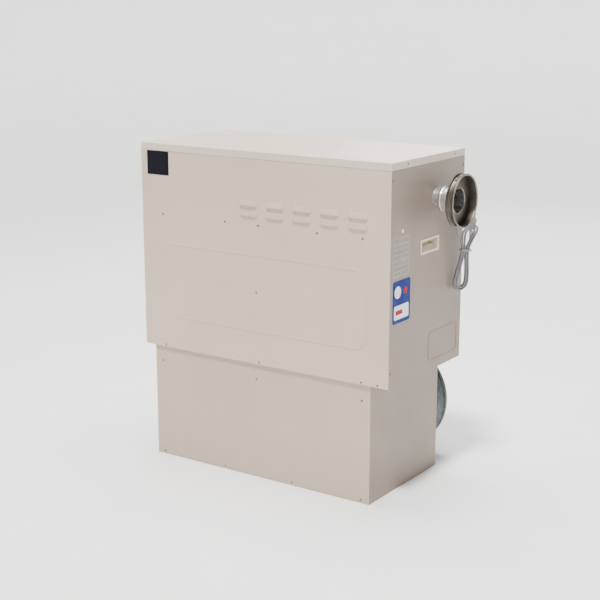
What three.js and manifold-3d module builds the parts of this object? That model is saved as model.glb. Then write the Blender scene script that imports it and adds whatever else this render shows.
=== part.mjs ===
// Forced air gas furnace: a painted sheet-metal cabinet with the blower, the heat exchanger, the
// burners and the flue fan, standing on a plenum base with two round duct spigots at the back.
// Millimetres, +Z up, the front faces -Y, the origin is the centre of the base's underside.
import * as THREE from 'three';
import { mergeVertices } from 'three/addons/utils/BufferGeometryUtils.js';
import { ConvexGeometry } from 'three/addons/geometries/ConvexGeometry.js';
import Module from 'manifold-3d';

const wasm = await Module();
wasm.setup();

// ---- driving dimensions -------------------------------------------------------------------
const fit = 0.3; // running or seating clearance between two pieces
const sheet = 1.5; // folded sheet metal
const flange = 18; // folded edge of a cover panel

const baseWidth = 948;
const baseDepth = 476;
const trayHeight = 25; // upturned edge of the base's floor

const cabinetWidth = 1060;
const cabinetDepth = 510;
const cabinetHeight = 760; // with the lid
const leftOverhang = 37;
const frontOverhang = 11;
const lidSkirt = 25;
const lidSeam = 1.5; // visible joint under the lid's skirt
const lidLap = 32; // how far the cover panels lap over the top frame
const topFrameWidth = 26;

const ductRadius = 200;
const ductMargin = 3; // from the duct spigot's flange to the base's edges
const ductLength = 120;
const ductFlange = 13;
const ductBeadHeight = 3;
const ductBeadFromEnd = 19;
const ductInset = 19; // from the base's side to the duct spigot
const ductSides = 32;

const shelfHeight = 503; // burner shelf above the cabinet's underside
const partitionFromLeft = 527;
const plenumMargin = 45; // cabinet floor left beside its air openings
const partitionMargin = 40;

const flueRadius = 45;
const flueSides = 28;
const flueReach = 78; // flue tube's end outside the cabinet
const flueTuck = 38; // flue tube's end inside the cabinet
const flueFromFront = 320;
const collarRadius = 88.5;
const collarDepth = 30;
const collarNeck = 18;
const collarRim = 5;

const wheelRadius = 120;
const wheelWidth = 180;
const bladeDepth = 21;
const bladeCount = 22;
const bladeSheet = 1.6;
const scrollGap = 12; // from the wheel to the scroll's tongue
const scrollGrowth = 68; // radius gained from the tongue to the outlet
const scrollSideGap = 15; // from the wheel's end to the scroll's side
const blowerFromLeft = 249;
const blowerHeight = 244; // blower axis above the cabinet's floor
const blowerLip = 60; // outlet's lower lip above the axis
const motorRadius = 60;
const shaftRadius = 6;

const tubeCount = 5;
const tubeRadius = 21;
const tubePitch = 80;
const tubeFrontFromFront = 149;
const tubeLegPitch = 180; // between a tube's two legs
const tubeAboveFloor = 77; // from the cabinet's underside to a tube's lowest point
const tubeRise = 10; // end of a tube above the shelf
const tubeHoleGap = 1;

const collectorHeight = 64.7; // top of the collector box above the shelf
const fanHeight = 74; // flue fan's housing

const cordDiameter = 7.5;
const hankTurns = 3.5;

// ---- places worked out from the sizes -----------------------------------------------------
const sheetRoom = sheet + fit; // what a flat sheet and its clearance take up
const baseHeight = 2 * (ductRadius + ductFlange + ductMargin);
const baseRight = baseWidth / 2;
const baseBack = baseDepth / 2;
const cabinetLeft = -baseRight - leftOverhang;
const cabinetRight = cabinetLeft + cabinetWidth;
const cabinetFront = -baseBack - frontOverhang;
const cabinetBack = cabinetFront + cabinetDepth;
const cabinetMiddle = (cabinetFront + cabinetBack) / 2;
const cabinetTop = baseHeight + cabinetHeight;
const panelTop = cabinetTop - lidSkirt - lidSeam;
const floorTop = baseHeight + sheet;
const shelfTop = baseHeight + shelfHeight;
const shelfBottom = shelfTop - sheet;
const partitionX = cabinetLeft + partitionFromLeft;
const flueY = cabinetFront + flueFromFront;
const flueZ = shelfTop + collectorHeight + fit + fanHeight / 2;
const tubeBend = tubeLegPitch / 2;
const tubeDrop = shelfHeight - tubeAboveFloor; // from the shelf to a tube's lowest point

// ---- solids: closed meshes joined and cut by manifold-3d ----------------------------------
const axisTurn = {
  x: new THREE.Matrix4().makeRotationZ(-Math.PI / 2),
  y: new THREE.Matrix4(),
  z: new THREE.Matrix4().makeRotationX(Math.PI / 2),
};

function solid(geometry) {
  const bare = geometry.clone();
  bare.deleteAttribute('normal');
  bare.deleteAttribute('uv');
  const merged = mergeVertices(bare, 1e-4);
  const corners = Array.from(merged.index.array);
  const kept = [];
  for (let i = 0; i < corners.length; i += 3) {
    const [a, b, c] = corners.slice(i, i + 3);
    if (a !== b && b !== c && c !== a) kept.push(a, b, c);
  }
  const vertProperties = new Float32Array(merged.attributes.position.array);
  return new wasm.Manifold(new wasm.Mesh({ numProp: 3, vertProperties, triVerts: new Uint32Array(kept) }));
}

function geometryOf(body) {
  const mesh = body.getMesh();
  const geometry = new THREE.BufferGeometry();
  geometry.setAttribute('position', new THREE.BufferAttribute(mesh.vertProperties, 3));
  geometry.setIndex(new THREE.BufferAttribute(mesh.triVerts, 1));
  geometry.computeVertexNormals();
  return geometry;
}

function block([x0, x1], [y0, y1], [z0, z1]) {
  const box = new THREE.BoxGeometry(x1 - x0, y1 - y0, z1 - z0);
  return solid(box.translate((x0 + x1) / 2, (y0 + y1) / 2, (z0 + z1) / 2));
}

// A profile of [radius, station] points, listed up its outside and down its inside.
function turned(profile, axis, sides, centre = [0, 0, 0]) {
  const points = profile.map(([radius, station]) => new THREE.Vector2(radius, station));
  const onAxis = profile[0][0] === 0 && profile[profile.length - 1][0] === 0;
  if (!onAxis) points.push(points[0].clone());
  const lathe = new THREE.LatheGeometry(points, sides).applyMatrix4(axisTurn[axis]);
  return solid(lathe.translate(...centre));
}

function rod(radius, from, to, axis, sides, centre) {
  return turned([[0, from], [radius, from], [radius, to], [0, to]], axis, sides, centre);
}

function ring(inner, outer, from, to, axis, sides, centre) {
  return turned([[inner, from], [outer, from], [outer, to], [inner, to]], axis, sides, centre);
}

// A flat outline pushed along an axis: drawn in (y, z) for x, in (x, z) for y, in (x, y) for z.
function pushed(outline, axis, from, to, curveSegments = 6) {
  const corners = () => outline.map(([a, b]) => new THREE.Vector2(a, b));
  const shape = outline instanceof THREE.Shape ? outline : new THREE.Shape(corners());
  const geometry = new THREE.ExtrudeGeometry(shape, { depth: to - from, bevelEnabled: false, curveSegments });
  if (axis === 'z') geometry.translate(0, 0, from);
  if (axis === 'x') {
    geometry.applyMatrix4(new THREE.Matrix4().set(0, 0, 1, from, 1, 0, 0, 0, 0, 1, 0, 0, 0, 0, 0, 1));
  }
  if (axis === 'y') {
    geometry.applyMatrix4(new THREE.Matrix4().set(1, 0, 0, 0, 0, 0, -1, to, 0, 1, 0, 0, 0, 0, 0, 1));
  }
  return solid(geometry);
}

function roundedOutline(left, right, bottom, top, radius) {
  const shape = new THREE.Shape();
  shape.moveTo(left + radius, bottom);
  shape.lineTo(right - radius, bottom);
  shape.absarc(right - radius, bottom + radius, radius, -Math.PI / 2, 0, false);
  shape.lineTo(right, top - radius);
  shape.absarc(right - radius, top - radius, radius, 0, Math.PI / 2, false);
  shape.lineTo(left + radius, top);
  shape.absarc(left + radius, top - radius, radius, Math.PI / 2, Math.PI, false);
  shape.lineTo(left, bottom + radius);
  shape.absarc(left + radius, bottom + radius, radius, Math.PI, Math.PI * 1.5, false);
  return shape;
}

// A path through stations, stepped from one station to the next.
class Route extends THREE.Curve {
  constructor(stations) {
    super();
    this.stations = stations;
  }

  getPoint(t, target = new THREE.Vector3()) {
    const place = t * (this.stations.length - 1);
    const first = Math.min(Math.floor(place), this.stations.length - 2);
    return target.lerpVectors(this.stations[first], this.stations[first + 1], place - first);
  }

  getPointAt(u, target) {
    return this.getPoint(u, target);
  }

  getTangentAt(u, target) {
    return this.getTangent(u, target);
  }
}

function pipe(stations, radius, sides) {
  const section = new THREE.Shape();
  for (let i = 0; i < sides; i += 1) {
    const angle = (i / sides) * Math.PI * 2;
    const x = radius * Math.cos(angle);
    const y = radius * Math.sin(angle);
    if (i === 0) section.moveTo(x, y);
    else section.lineTo(x, y);
  }
  const options = { steps: stations.length - 1, extrudePath: new Route(stations), bevelEnabled: false };
  return solid(new THREE.ExtrudeGeometry(section, options));
}

// ---- finishes -----------------------------------------------------------------------------
const finishes = {
  paint: { color: 0xd2c7bc, roughness: 0.5, metalness: 0.1 },
  lidPaint: { color: 0xdddcd6, roughness: 0.5, metalness: 0.1 },
  galvanised: { color: 0xa9aaa6, roughness: 0.38, metalness: 0.9 },
  fluePlate: { color: 0x9a9285, roughness: 0.42, metalness: 0.9 },
  exchangerSteel: { color: 0x8f9194, roughness: 0.45, metalness: 0.9 },
  castGrey: { color: 0x7c7f83, roughness: 0.55, metalness: 0.7 },
  motorPaint: { color: 0x2d3033, roughness: 0.55, metalness: 0.4 },
  creamPlastic: { color: 0xe2ddd0, roughness: 0.5, metalness: 0 },
  blackPlastic: { color: 0x1d1e20, roughness: 0.5, metalness: 0 },
  greyFlex: { color: 0x96948f, roughness: 0.6, metalness: 0 },
  redPlastic: { color: 0xa92a22, roughness: 0.5, metalness: 0 },
  boardGreen: { color: 0x2f5b3a, roughness: 0.6, metalness: 0 },
  brass: { color: 0xb3955a, roughness: 0.35, metalness: 1 },
  ceramic: { color: 0xe9e6de, roughness: 0.4, metalness: 0 },
};

const furnace = new THREE.Group();

function addPiece(name, body, finish, group = furnace) {
  const mesh = new THREE.Mesh(geometryOf(body), new THREE.MeshStandardMaterial(finishes[finish]));
  mesh.name = name;
  group.add(mesh);
  return mesh;
}

function addGroup(x, y, z, parent = furnace) {
  const group = new THREE.Group();
  group.position.set(x, y, z);
  parent.add(group);
  return group;
}

// ---- cover panels: a flat face with a folded edge set in from its outline --------------------
// Drawn as a front panel whose face looks along -Y and starts at y = 0; size is what it covers.
function coverPanel({ width, bottom, top, foldBottom, foldTop }) {
  const half = width / 2;
  const foldHalf = half - sheet - fit;
  const face = block([-half, half], [0, sheet], [bottom, top]);
  const folds = block([-foldHalf, foldHalf], [0, flange], [foldBottom, foldTop]);
  const hollowX = [-foldHalf + sheet, foldHalf - sheet];
  const hollow = block(hollowX, [sheet, flange + 1], [foldBottom + sheet, foldTop - sheet]);
  return face.add(folds.subtract(hollow));
}

// An upright plate across the inside, from the front panel to the back one, with its corners cut
// round the folded edges of both panels.
function crossPlate({ front, back, bottom, top, notchBottom, notchTop }) {
  const y0 = front + sheetRoom;
  const y1 = back - sheetRoom;
  const inner0 = front + flange + fit;
  const inner1 = back - flange - fit;
  const outline = [
    [inner0, bottom], [inner1, bottom], [inner1, notchBottom], [y1, notchBottom],
    [y1, notchTop], [inner1, notchTop], [inner1, top], [inner0, top],
    [inner0, notchTop], [y0, notchTop], [y0, notchBottom], [inner0, notchBottom],
  ];
  return pushed(outline, 'x', -sheet / 2, sheet / 2);
}

// ---- the base: floor tray, four walls, divider and duct spigots -----------------------------
const base = addGroup(0, 0, 0);
const baseTop = baseHeight - fit;
const ductX = baseRight - ductInset - ductRadius;
const ductZ = baseHeight / 2;

function baseFloorTray() {
  const halfX = baseRight - sheetRoom;
  const halfY = baseBack - sheetRoom;
  const outer = block([-halfX, halfX], [-halfY, halfY], [0, trayHeight]);
  const hollowX = [-halfX + sheet, halfX - sheet];
  return outer.subtract(block(hollowX, [-halfY + sheet, halfY - sheet], [sheet, trayHeight + 1]));
}

function baseCover() {
  return coverPanel({
    width: baseWidth, bottom: 0, top: baseTop, foldBottom: trayHeight + fit, foldTop: baseTop,
  });
}

function baseBackPanel() {
  let panel = baseCover();
  for (const side of [-1, 1]) {
    panel = panel.subtract(rod(ductRadius + fit, -1, sheet + 1, 'y', ductSides, [side * ductX, 0, ductZ]));
  }
  return panel;
}

function baseSide() {
  const y = baseBack - sheetRoom;
  const foldY = baseBack - flange - fit;
  const face = block([baseRight - sheet, baseRight], [-y, y], [0, baseTop]);
  return face.add(block([baseRight - flange, baseRight], [-foldY, foldY], [baseTop - sheet, baseTop]));
}

function baseDivider() {
  const bottom = sheetRoom;
  const plate = crossPlate({
    front: -baseBack,
    back: baseBack,
    bottom,
    top: baseTop,
    notchBottom: trayHeight + fit + sheet + fit,
    notchTop: baseTop - sheet - fit,
  });
  const footY = baseBack - flange - fit;
  return plate.add(block([-sheet / 2, flange], [-footY, footY], [bottom, bottom + sheet]));
}

function ductSpigot() {
  const inner = ductRadius - sheet;
  const end = ductLength;
  const bead = end - ductBeadFromEnd;
  const profile = [
    [inner, -sheet], [ductRadius, -sheet], [ductRadius, fit],
    [ductRadius + ductFlange, fit], [ductRadius + ductFlange, fit + sheet], [ductRadius, fit + sheet],
    [ductRadius, bead - 6], [ductRadius + ductBeadHeight, bead - 2], [ductRadius + ductBeadHeight, bead + 2],
    [ductRadius, bead + 6], [ductRadius, end], [inner, end],
  ];
  return turned(profile, 'y', ductSides);
}

addPiece('base_floor_tray', baseFloorTray(), 'galvanised', base);
addPiece('base_front_panel', baseCover(), 'paint', base).position.y = -baseBack;
const backWall = addPiece('base_back_panel', baseBackPanel(), 'paint', base);
backWall.position.y = baseBack;
backWall.rotation.z = Math.PI;
addPiece('base_right_side', baseSide(), 'paint', base);
addPiece('base_left_side', baseSide(), 'paint', base).rotation.z = Math.PI;
addPiece('base_divider', baseDivider(), 'galvanised', base);
addPiece('supply_duct_spigot', ductSpigot(), 'galvanised', base).position.set(ductX, baseBack, ductZ);
addPiece('return_duct_spigot', ductSpigot(), 'galvanised', base).position.set(-ductX, baseBack, ductZ);

// ---- the cabinet: floor, walls, shelf, partition, top frame and lid -------------------------
const cabinet = addGroup(0, 0, 0);
const coverMiddle = cabinetLeft + cabinetWidth / 2;
const foldTop = panelTop - lidLap;
const innerLeft = cabinetLeft + sheetRoom;
const innerRight = cabinetRight - sheetRoom;
const innerFront = cabinetFront + sheetRoom;
const innerBack = cabinetBack - sheetRoom;
const openingY = baseBack - plenumMargin;
const returnOpening = [-baseRight + plenumMargin, partitionX - partitionMargin];
const supplyOpening = [partitionX + partitionMargin, baseRight - plenumMargin];

const handleWidth = 128;
const handleHeight = 51;
const handleFromFront = 264; // middle of the carry handle
const handleMiddle = 451.5; // above the cabinet's floor
const handleBezel = 4.5; // bezel's width round the pocket
const handleProud = 3;
const handleDepth = 36;
const handleY = cabinetFront + handleFromFront;
const handleZ = baseHeight + handleMiddle;

const glandBehindFlue = 69;
const glandBelowFlue = 37;
const glandRadius = 9;
const glandY = flueY + glandBehindFlue;
const glandZ = flueZ - glandBelowFlue;

const gasPipeRadius = 10.5;
const gasPipeX = partitionX - 76;
const manifoldRise = 127; // gas pipework above the shelf
const gasZ = shelfTop + manifoldRise;

function cabinetFloor() {
  const plate = block([innerLeft, innerRight], [innerFront, innerBack], [baseHeight, floorTop]);
  const openings = [returnOpening, supplyOpening];
  return openings.reduce((body, spanX) => body.subtract(
    block(spanX, [-openingY, openingY], [baseHeight - 1, floorTop + 1])), plate);
}

function cabinetCover() {
  return coverPanel({
    width: cabinetWidth,
    bottom: baseHeight,
    top: panelTop,
    foldBottom: floorTop + fit,
    foldTop,
  });
}

// A raised rectangular band with round corners: a wide foot and a narrower crown on it.
function beadRib(left, right, bottom, top, radius, width, height) {
  const band = (inset, outer) => {
    const outline = roundedOutline(left + inset, right - inset, bottom + inset, top - inset, radius - inset);
    const way = width - inset;
    outline.holes.push(roundedOutline(left + way, right - way, bottom + way, top - way, radius - way));
    return pushed(outline, 'y', -outer, sheet / 2, 4);
  };
  return band(0, height / 2).add(band(beadSlope, height));
}

const beadSlope = 3; // width of a bead's sloping sides
const louvreColumns = 5;
const louvreRows = 2;
const louvrePitchX = 111.9;
const louvrePitchZ = 36;
const louvreWidth = 76;
const louvreTall = 19;
const louvreProud = 8;
const louvresFromLeft = 448.5; // left end of the first louvre
const louvresUp = 535; // lower row's lower edge above the cabinet's underside

// A pressed hood, closed at its top and ends and open along its lower edge.
function louvreHood(thickness, lip) {
  const half = louvreWidth / 2 - thickness;
  const reach = louvreProud - thickness;
  const tall = louvreTall - thickness;
  const rooted = sheet * 0.9; // how deep the hood's root lies in the panel
  const corners = [];
  for (const side of [-1, 1]) {
    corners.push([side * half, rooted, lip], [side * (half - 4), rooted, tall]);
    corners.push([side * (half - 2), -reach, lip], [side * (half - 5), -reach * 0.75, tall / 2]);
  }
  return solid(new ConvexGeometry(corners.map((corner) => new THREE.Vector3(...corner))));
}

const beadMarginX = 85;
const beadBottom = 117;
const beadTop = 403;

function frontPanel() {
  let panel = cabinetCover();
  const right = cabinetWidth / 2 - beadMarginX;
  panel = panel.add(beadRib(-right, right, baseHeight + beadBottom, baseHeight + beadTop, 50, 14, 2.5));
  const hood = louvreHood(0, 0);
  const slot = louvreHood(sheet, -1);
  const throat = block([-louvreWidth / 2 + 5, louvreWidth / 2 - 5], [0, sheet + 1], [0, louvreTall - 5]);
  for (let row = 0; row < louvreRows; row += 1) {
    for (let column = 0; column < louvreColumns; column += 1) {
      const x = louvresFromLeft + (louvreWidth - cabinetWidth) / 2 + column * louvrePitchX;
      const z = baseHeight + louvresUp + row * louvrePitchZ;
      panel = panel.add(hood.translate([x, 0, z]));
      panel = panel.subtract(slot.translate([x, 0, z])).subtract(throat.translate([x, 0, z]));
    }
  }
  return panel;
}

function cabinetBackPanel() {
  return cabinetCover().subtract(
    rod(gasPipeRadius + 2, -1, sheet + 1, 'y', 20, [-(gasPipeX - coverMiddle), 0, gasZ]));
}

function cabinetSide() {
  const face = block([cabinetRight - sheet, cabinetRight], [innerFront, innerBack], [baseHeight, panelTop]);
  const foldY = [cabinetFront + flange + fit, cabinetBack - flange - fit];
  const fold = block([cabinetRight - flange, cabinetRight], foldY, [floorTop + fit, floorTop + fit + sheet]);
  const gap = handleBezel - fit * 2;
  const handleHole = block(
    [cabinetRight - sheet - 1, cabinetRight + 1],
    [handleY - handleWidth / 2 + gap, handleY + handleWidth / 2 - gap],
    [handleZ - handleHeight / 2 + gap, handleZ + handleHeight / 2 - gap],
  );
  return face.add(fold).subtract(handleHole);
}

const sideBeadLeft = 271;
const sideBeadRight = 486;
const sideBeadBottom = 28;
const sideBeadTop = 141;

function cabinetRightSide() {
  const rib = beadRib(cabinetFront + sideBeadLeft, cabinetFront + sideBeadRight,
    baseHeight + sideBeadBottom, baseHeight + sideBeadTop, 22, 9, 1.6);
  const onSide = rib.rotate([0, 0, 90]).translate([cabinetRight, 0, 0]);
  const from = cabinetRight - sheet - 1;
  const to = cabinetRight + 1;
  return cabinetSide().add(onSide)
    .subtract(rod(flueRadius + fit, from, to, 'x', flueSides, [0, flueY, flueZ]))
    .subtract(rod(glandRadius + fit, from, to, 'x', 16, [0, glandY, glandZ]));
}

function cabinetLeftSide() {
  return cabinetSide().mirror([1, 0, 0]).translate([2 * coverMiddle, 0, 0]);
}

function burnerShelf() {
  const left = innerLeft + sheetRoom;
  const right = innerRight - sheetRoom;
  let shelf = block([left, right], [innerFront, innerBack], [shelfBottom, shelfTop]);
  shelf = shelf.add(block([left, right], [innerFront, innerFront + sheet], [shelfTop - flange, shelfTop]));
  shelf = shelf.add(block([left, right], [innerBack - sheet, innerBack], [shelfTop - flange, shelfTop]));
  const hole = rod(tubeRadius + tubeHoleGap, shelfBottom - 1, shelfTop + 1, 'z', 12);
  for (const x of tubeXs()) {
    for (const y of [tubeFrontY, tubeBackY]) shelf = shelf.subtract(hole.translate([x, y, 0]));
  }
  return shelf;
}

function partition() {
  const plate = crossPlate({
    front: cabinetFront,
    back: cabinetBack,
    bottom: floorTop + fit,
    top: shelfBottom - fit,
    notchBottom: floorTop + fit + sheet + fit,
    notchTop: shelfTop - flange - fit,
  });
  const hole = outletHole(fit);
  return plate.subtract(block([-sheet, sheet], hole.y, hole.z));
}

function topFrame() {
  const top = cabinetTop - sheet - fit;
  const bottom = foldTop + fit;
  const outer = block([innerLeft, innerRight], [innerFront, innerBack], [bottom, top]);
  const legX = [innerLeft + sheet, innerRight - sheet];
  const hollow = block(legX, [innerFront + sheet, innerBack - sheet], [bottom - 1, top - sheet]);
  const wayX = [innerLeft + topFrameWidth, innerRight - topFrameWidth];
  const way = block(wayX, [innerFront + topFrameWidth, innerBack - topFrameWidth], [bottom, top + 1]);
  return outer.subtract(hollow).subtract(way);
}

function lid() {
  const skirtBottom = cabinetTop - lidSkirt;
  const outer = block([cabinetLeft, cabinetRight], [cabinetFront, cabinetBack], [skirtBottom, cabinetTop]);
  const hollowX = [cabinetLeft + sheet, cabinetRight - sheet];
  const hollowY = [cabinetFront + sheet, cabinetBack - sheet];
  return outer.subtract(block(hollowX, hollowY, [skirtBottom - 1, cabinetTop - sheet]));
}

// Drawn round its own middle; its pocket has a ramp below and a finger slot behind the upper edge.
function carryHandle() {
  const halfY = handleWidth / 2;
  const halfZ = handleHeight / 2;
  const cupY = halfY - handleBezel;
  const cupZ = halfZ - handleBezel;
  const wall = 2;
  const bezel = pushed(roundedOutline(-halfY, halfY, -halfZ, halfZ, 3), 'x', fit, handleProud, 3);
  const cup = block([-handleDepth, handleProud - 1], [-cupY, cupY], [-cupZ, cupZ]);
  const low = -cupZ + wall;
  const high = cupZ - wall;
  const pocket = [
    [handleProud + 1, low], [handleProud + 1, high], [-handleDepth + wall, high],
    [-handleDepth + wall, high - 20], [-16, high - 23], [0, low],
  ];
  return bezel.add(cup).subtract(pushed(pocket, 'y', -cupY + wall, cupY - wall));
}

const tubeFrontY = cabinetFront + tubeFrontFromFront;
const tubeBackY = tubeFrontY + tubeLegPitch;

function tubeXs() {
  const middle = (partitionX + cabinetRight) / 2;
  return Array.from({ length: tubeCount }, (_, i) => middle + (i - (tubeCount - 1) / 2) * tubePitch);
}

// ---- the blower: drawn round its own axis, which lies along Y ---------------------------------
const blowerX = cabinetLeft + blowerFromLeft;
const blowerZ = baseHeight + blowerHeight;
const blower = addGroup(blowerX, cabinetMiddle, blowerZ);
const scrollStart = wheelRadius + scrollGap;
const scrollEnd = scrollStart + scrollGrowth;
const scrollHalf = wheelWidth / 2 + scrollSideGap;
const scrollSweep = Math.PI * 1.5;
const scrollSteps = 21;
const scrollTurn = scrollSweep / scrollSteps;
const outletX = partitionX - sheet / 2 - fit - blowerX;
const outletLip = 12;
const wheelInner = wheelRadius - bladeDepth;
const inletRadius = wheelInner - 7;

// The scroll's wall at an angle turned clockwise from +X, seen from the front.
function scrollPoint(angle, offset) {
  const radius = scrollStart + scrollGrowth * (angle / scrollSweep) + offset;
  return [radius * Math.cos(angle), -radius * Math.sin(angle)];
}

function scrollOutline(offset, reach) {
  const points = [];
  for (let i = 0; i <= scrollSteps; i += 1) points.push(scrollPoint(i * scrollTurn, offset));
  points.push([reach, scrollEnd + offset]);
  points.push([reach, blowerLip - offset]);
  points.push([scrollStart + 8 + offset, blowerLip - offset]);
  return points.reverse();
}

function outletHole(clearance) {
  const inner = scrollHalf - sheet;
  return {
    y: [cabinetMiddle - inner + clearance, cabinetMiddle + inner - clearance],
    z: [blowerZ + blowerLip + sheet + clearance, blowerZ + scrollEnd - sheet - clearance],
  };
}

function blowerScroll() {
  let scroll = pushed(scrollOutline(0, outletX), 'y', -scrollHalf, scrollHalf);
  const lipY = [-scrollHalf - outletLip, scrollHalf + outletLip];
  const lipZ = [blowerLip - outletLip, scrollEnd + outletLip];
  scroll = scroll.add(block([outletX - sheet, outletX], lipY, lipZ));
  const inside = scrollOutline(-sheet, outletX + 1);
  scroll = scroll.subtract(pushed(inside, 'y', -scrollHalf + sheet, scrollHalf - sheet));
  scroll = scroll.subtract(rod(inletRadius, -scrollHalf - 1, scrollHalf + 1, 'y', 24));
  const mouthDepth = scrollSideGap / 2;
  const mouth = ring(inletRadius - sheet, inletRadius + sheet, 0, mouthDepth, 'y', 24);
  scroll = scroll.add(mouth.translate([0, -scrollHalf, 0]));
  return scroll.add(mouth.translate([0, scrollHalf - mouthDepth, 0]));
}

// One blade: a curved strip whose outer edge leans the way the wheel turns.
function bladeOutline(angle) {
  const lean = [0, 0.03, 0.13];
  const side = (offset) => lean.map((turn, i) => {
    const radius = wheelInner + (bladeDepth - 1) * (i / (lean.length - 1));
    const at = angle - turn + offset / radius;
    return [radius * Math.cos(at), radius * Math.sin(at)];
  });
  return [...side(-bladeSheet / 2), ...side(bladeSheet / 2).reverse()];
}

const hubRadius = 16;
const hubHalf = 20;

function blowerWheel() {
  const half = wheelWidth / 2;
  let wheel = rod(wheelRadius - 3, -1, 1, 'y', bladeCount);
  wheel = wheel.add(rod(hubRadius, -hubHalf, hubHalf, 'y', 16));
  for (const end of [-half, half - 3]) {
    wheel = wheel.add(ring(wheelInner + 6, wheelRadius, end, end + 3, 'y', bladeCount));
  }
  for (let i = 0; i < bladeCount; i += 1) {
    wheel = wheel.add(pushed(bladeOutline((i / bladeCount) * Math.PI * 2), 'y', -half + 1, half - 1));
  }
  return wheel.subtract(rod(shaftRadius + fit, -hubHalf - 1, hubHalf + 1, 'y', 16));
}

const motorNose = -30; // the motor's front bearing, seen from the wheel's middle
const motorLength = 112;
const motorEnd = motorNose - 8;

function blowerMotor() {
  const back = motorEnd - motorLength;
  const shell = turned([
    [0, back], [motorRadius - 14, back], [motorRadius - 2, back + 9], [motorRadius, back + 14],
    [motorRadius, motorEnd - 14], [motorRadius - 2, motorEnd - 9], [motorRadius - 14, motorEnd],
    [14, motorEnd], [14, motorNose], [0, motorNose],
  ], 'y', 24);
  const cover = block([-18, 18], [back + 24, back + 78], [motorRadius - 4, motorRadius + 9]);
  return shell.add(cover);
}

// A band round the motor with three arms whose feet lie on the scroll's front side.
function motorBracket() {
  const foot = -scrollHalf - fit;
  const band = ring(motorRadius + fit, motorRadius + fit + 2.5, foot - 26, foot, 'y', 24);
  const arm = block([motorRadius + 1.5, inletRadius + 22], [foot - 2.5, foot], [-11, 11]);
  const web = pushed([
    [motorRadius + 1.5, foot - 22], [motorRadius + 1.5, foot - 1], [inletRadius + 16, foot - 1],
  ], 'z', -1.25, 1.25);
  return [-30, 90, 210].reduce((body, degrees) => body.add(arm.add(web).rotate([0, degrees, 0])), band)
    .subtract(block([-19, 19], [foot - 30, foot + 1], [motorRadius - 5, motorRadius + 12]));
}

// A stand under the scroll, cut to the scroll's own curve.
function blowerStand() {
  const bottom = floorTop + fit - blowerZ;
  const left = returnOpening[0] - 40 - blowerX;
  const right = outletX - sheet;
  const outline = [[left, bottom], [right, bottom], [right, bottom + 16], [right - 60, bottom + 16]];
  for (let i = 4; i <= 10; i += 1) outline.push(scrollPoint(i * scrollTurn, fit));
  outline.push([left + 34, bottom + 16]);
  outline.push([left, bottom + 16]);
  const plate = pushed(outline, 'y', -1, 1);
  const foot = block([left, right], [-1, flange], [bottom, bottom + sheet]);
  const window = block([left + 75, right - 90], [-3, 3], [bottom + 14, bottom + 52]);
  return plate.add(foot).subtract(window);
}

const standPlace = 72;

addPiece('cabinet_floor', cabinetFloor(), 'galvanised', cabinet);
addPiece('front_panel', frontPanel(), 'paint', cabinet).position.set(coverMiddle, cabinetFront, 0);
const cabinetRear = addPiece('cabinet_back_panel', cabinetBackPanel(), 'paint', cabinet);
cabinetRear.position.set(coverMiddle, cabinetBack, 0);
cabinetRear.rotation.z = Math.PI;
addPiece('cabinet_right_side', cabinetRightSide(), 'paint', cabinet);
addPiece('cabinet_left_side', cabinetLeftSide(), 'paint', cabinet);
addPiece('burner_shelf', burnerShelf(), 'galvanised', cabinet);
addPiece('centre_partition', partition(), 'galvanised', cabinet).position.x = partitionX;
addPiece('top_frame', topFrame(), 'galvanised', cabinet);
addPiece('lid', lid(), 'lidPaint', cabinet);
const rightHandle = addPiece('right_carry_handle', carryHandle(), 'creamPlastic', cabinet);
rightHandle.position.set(cabinetRight, handleY, handleZ);
const leftHandle = addPiece('left_carry_handle', carryHandle(), 'creamPlastic', cabinet);
leftHandle.position.set(cabinetLeft, handleY, handleZ);
leftHandle.rotation.z = Math.PI;

addPiece('blower_scroll', blowerScroll(), 'galvanised', blower);
addPiece('blower_wheel', blowerWheel(), 'galvanised', blower);
const shaft = rod(shaftRadius, motorNose + fit, hubHalf + 6, 'y', 16);
addPiece('blower_shaft', shaft, 'exchangerSteel', blower);
addPiece('blower_motor', blowerMotor(), 'motorPaint', blower);
addPiece('blower_motor_bracket', motorBracket(), 'exchangerSteel', blower);
addPiece('blower_front_stand', blowerStand(), 'galvanised', blower).position.y = -standPlace;
addPiece('blower_rear_stand', blowerStand(), 'galvanised', blower).position.y = standPlace;

// ---- the heat exchanger and the burners, on both sides of the shelf ---------------------------
const heating = addGroup(0, 0, shelfTop);
const tubeFlange = 6;
const tubeSides = 10;
const bendSteps = 7;

function exchangerTube() {
  const depth = tubeDrop - tubeBend - tubeRadius;
  const stations = [new THREE.Vector3(0, -tubeBend, tubeRise)];
  for (let i = 0; i <= bendSteps; i += 1) {
    const angle = Math.PI * (i / bendSteps);
    stations.push(new THREE.Vector3(0, -tubeBend * Math.cos(angle), -depth - tubeBend * Math.sin(angle)));
  }
  stations.push(new THREE.Vector3(0, tubeBend, tubeRise));
  let tube = pipe(stations, tubeRadius, tubeSides);
  for (const y of [-tubeBend, tubeBend]) {
    tube = tube.add(rod(tubeRadius + tubeFlange, fit, fit + 2 * sheet, 'z', tubeSides, [0, y, 0]));
  }
  return tube;
}

const burnerRadius = 23;
const burnerLength = 90;

function burner() {
  return turned([
    [0, 0], [burnerRadius, 0], [burnerRadius, 8], [16, 16], [13, 42], [13, 60],
    [19, burnerLength - 6], [19, burnerLength], [16, burnerLength], [10, 62], [0, 60],
  ], 'z', 12);
}

const manifoldRadius = 12;
const spudRadius = 5;

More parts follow.
